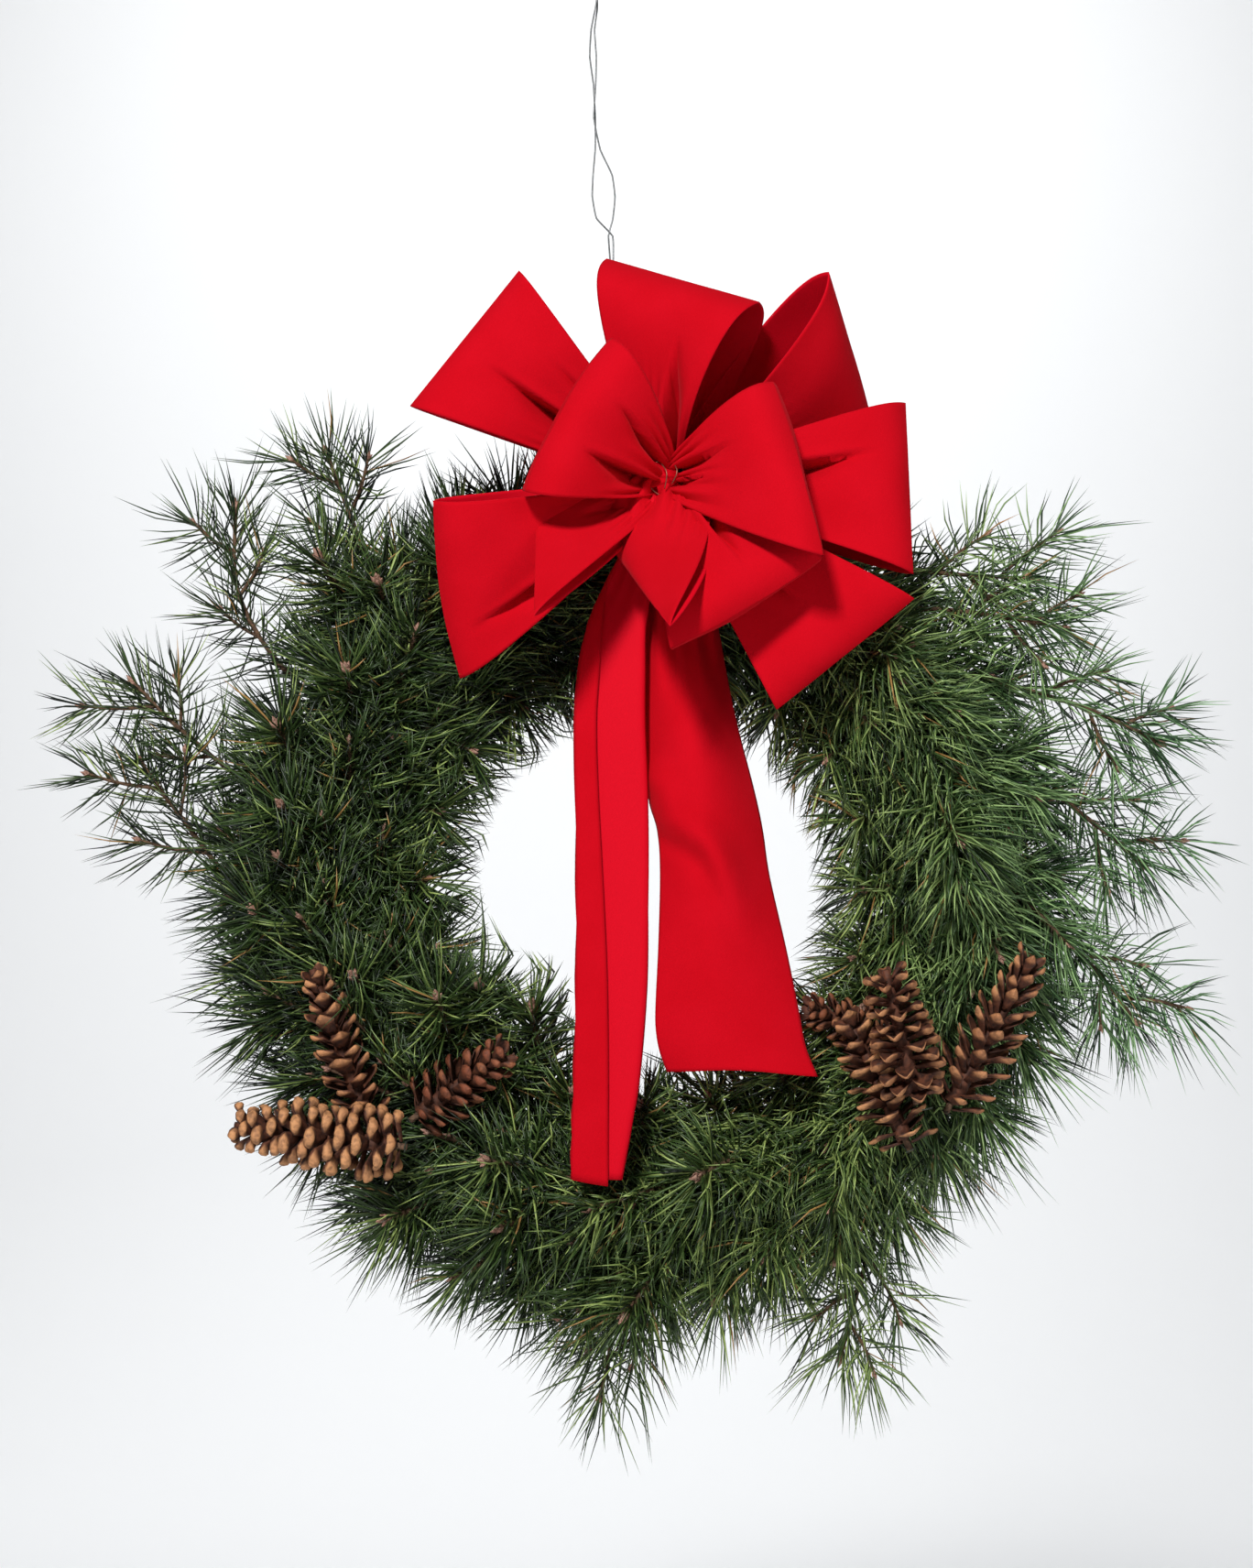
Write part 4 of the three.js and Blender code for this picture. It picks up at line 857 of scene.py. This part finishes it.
# The pleats take up what the arch leaves over of the ribbon's width where it is gathered.
spare = np.clip(2000 * ribbon_half_width - width * (1 + 2.67 * (arch / width) ** 2), 0, None)
pleat_count = 4
pleats = np.minimum(width / (math.pi * pleat_count) * np.sqrt(spare / width), 7)
gather = 1 - smooth_step((share - 0.12) / 0.24)
x = left + width * (across + 1) / 2
y = depth - arch * (0.5 - np.abs(across + 0.1) ** 1.8)
y = y + pleats * gather * np.sin(math.pi * pleat_count * across + 0.6)
z = height + share ** 4 * (1.3 * np.cos(0.9 * math.pi * across) - 0.3 * across)
fold_line = smooth_path(right_fold, 10)
places = np.stack([x, z], -1)
nearest = np.linalg.norm(places[:, :, None] - fold_line, axis=-1).argmin(axis=-1)
fold_way = unit(np.gradient(fold_line, axis=0)[nearest])
offset = places - fold_line[nearest]
over = fold_way[..., 0] * offset[..., 1] - fold_way[..., 1] * offset[..., 0]
beyond = np.abs((fold_way * offset).sum(-1))
fading = np.exp(-(beyond / 10) ** 2) * (1 - smooth_step((nearest / len(fold_line) - 0.55) / 0.45))
y = y - fading * (6.5 * np.exp(-((over - 9) / 10) ** 2) - 3.5 * np.exp(-((over + 3) / 6) ** 2))
curl = np.clip(-across, 0, 1) ** 2 * np.clip((share - 0.86) / 0.14, 0, 1) ** 1.7
x, y = x + 5 * curl, y + 5 * curl
y = y + np.sin(across * 2.6 + share * 9)
grid = np.stack([x, y, z], -1) * 0.001
right_shape = Shape()
add_cloth(right_shape, grid, 1)
right_tail = right_shape.make("tail_right_drawn", [velvet, reverse], "tail_right")

rows = smooth_path(left_places, 7)
grid = []
for order, (height, fold, front_edge, right_fold_x, depth, before, behind) in enumerate(rows):
    share = order / (len(rows) - 1)
    leaf, back = front_edge - fold, right_fold_x - fold
    peeping = 1.6 * smooth_step((share - 0.66) / 0.2)
    section = smooth_path([
        (front_edge, depth - before - 0.2), (fold + 0.45 * leaf, depth - before - 0.3),
        (fold + 0.8, depth - 0.75 * before), (fold, depth - 0.3 * before), (fold + 1.5, depth + 0.2),
        (fold + 0.25 * back, depth + 0.7), (fold + 0.55 * back, depth + 0.9),
        (fold + 0.85 * back, depth + 0.6), (fold + back - 0.8, depth + 0.4),
        (fold + back + peeping, depth + 0.35 * behind),
        (fold + back + 0.5 * peeping, depth + 0.8 * behind), (fold + 0.75 * back, depth + behind + 1),
        (fold + 0.45 * back, depth + behind + 2.5), (fold + 0.12 * back, depth + behind + 2)], 7)
    steps = [path_length(section[:count + 1]) for count in range(len(section))]
    even = np.linspace(0, steps[-1], tail_columns)
    x, y = (np.interp(even, steps, section[:, i]) for i in range(2))
    gather = 1 - smooth_step((share - 0.08) / 0.2)
    y = y + 1.2 * gather * np.sin(np.linspace(0, 14 * math.pi, tail_columns))
    lower = 3.7 * share ** 8 * np.clip(1 - even / leaf, 0, 1) ** 0.7
    grid.append(np.stack([x + 0.8 * math.sin(share * 11), y, height - lower], -1) * 0.001)
grid = np.array(grid)
left_shape = Shape()
add_cloth(left_shape, grid, 0)
left_tail = left_shape.make("tail_left_drawn", [velvet, reverse], "tail_left")

# Studio: a plain pale floor that runs up into a pale back wall far behind. A small key light stands
# at the upper left front, with a weak fill, a weak rear light and one light for the back wall. The
# sky gives little light but is seen pale.
floor_level, floor_end, bend_radius = -1.5, 2.5, 2.0
cove = [(-4.4, floor_level), (floor_end, floor_level)]
cove += [(floor_end + bend_radius * math.sin(a), floor_level + bend_radius * (1 - math.cos(a)))
         for a in np.linspace(0.1, math.pi / 2, 12)]
cove += [(floor_end + bend_radius, 5.0)]
cove_vertices = [(x, y, z) for y, z in cove for x in (-8.0, 8.0)]
cove_faces = [(2 * i, 2 * i + 1, 2 * i + 3, 2 * i + 2) for i in range(len(cove) - 1)]
cove_mesh = bpy.data.meshes.new("studio_floor")
cove_mesh.from_pydata(cove_vertices, [], cove_faces)
cove_mesh.shade_smooth()
paper, tree, shader = new_material("studio_paper", Roughness=0.95, Base_Color=(0.86, 0.87, 0.88, 1))
cove_mesh.materials.append(paper)
studio_floor = bpy.data.objects.new("studio_floor", cove_mesh)
bpy.context.collection.objects.link(studio_floor)

wreath_middle = (0.04, 0, -0.6)
for name, place, target, power, size in (
        ("key", (-0.7, -2.8, 1.1), wreath_middle, 104, 0.4),
        ("fill", (2.2, -2.4, -0.3), wreath_middle, 15, 1.2),
        ("rear", (-0.8, 2.6, 0.9), wreath_middle, 12, 2.0),
        ("backdrop", (0, 2.4, 1.4), (0, 4.5, -0.4), 70, 3.0)):
    light = bpy.data.lights.new(name, "AREA")
    light.energy, light.size = power, size
    lamp = bpy.data.objects.new(name, light)
    lamp.location = place
    x, y, z = np.array(target) - place
    lamp.rotation_euler = (math.atan2(math.hypot(x, y), -z), 0, math.atan2(-x, y))
    lamp.visible_camera = False
    bpy.context.collection.objects.link(lamp)
world = bpy.data.worlds.new("sky")
world.use_nodes = True
sky = world.node_tree
sky_light = sky.nodes["Background"]
sky_light.inputs["Color"].default_value = (0.93, 0.96, 1.0, 1)
sky_light.inputs["Strength"].default_value = 0.10
sky_seen = add_node(sky, "Background", {"Color": (0.93, 0.95, 0.97, 1), "Strength": 0.8})
camera_ray = add_node(sky, "LightPath")
sky_mix = add_node(sky, "MixShader")
join(sky, (camera_ray, "Is Camera Ray", sky_mix, 0), (sky_light, "Background", sky_mix, 1),
     (sky_seen, "Background", sky_mix, 2), (sky_mix, "Shader", sky.nodes["World Output"], "Surface"))
bpy.context.scene.world = world
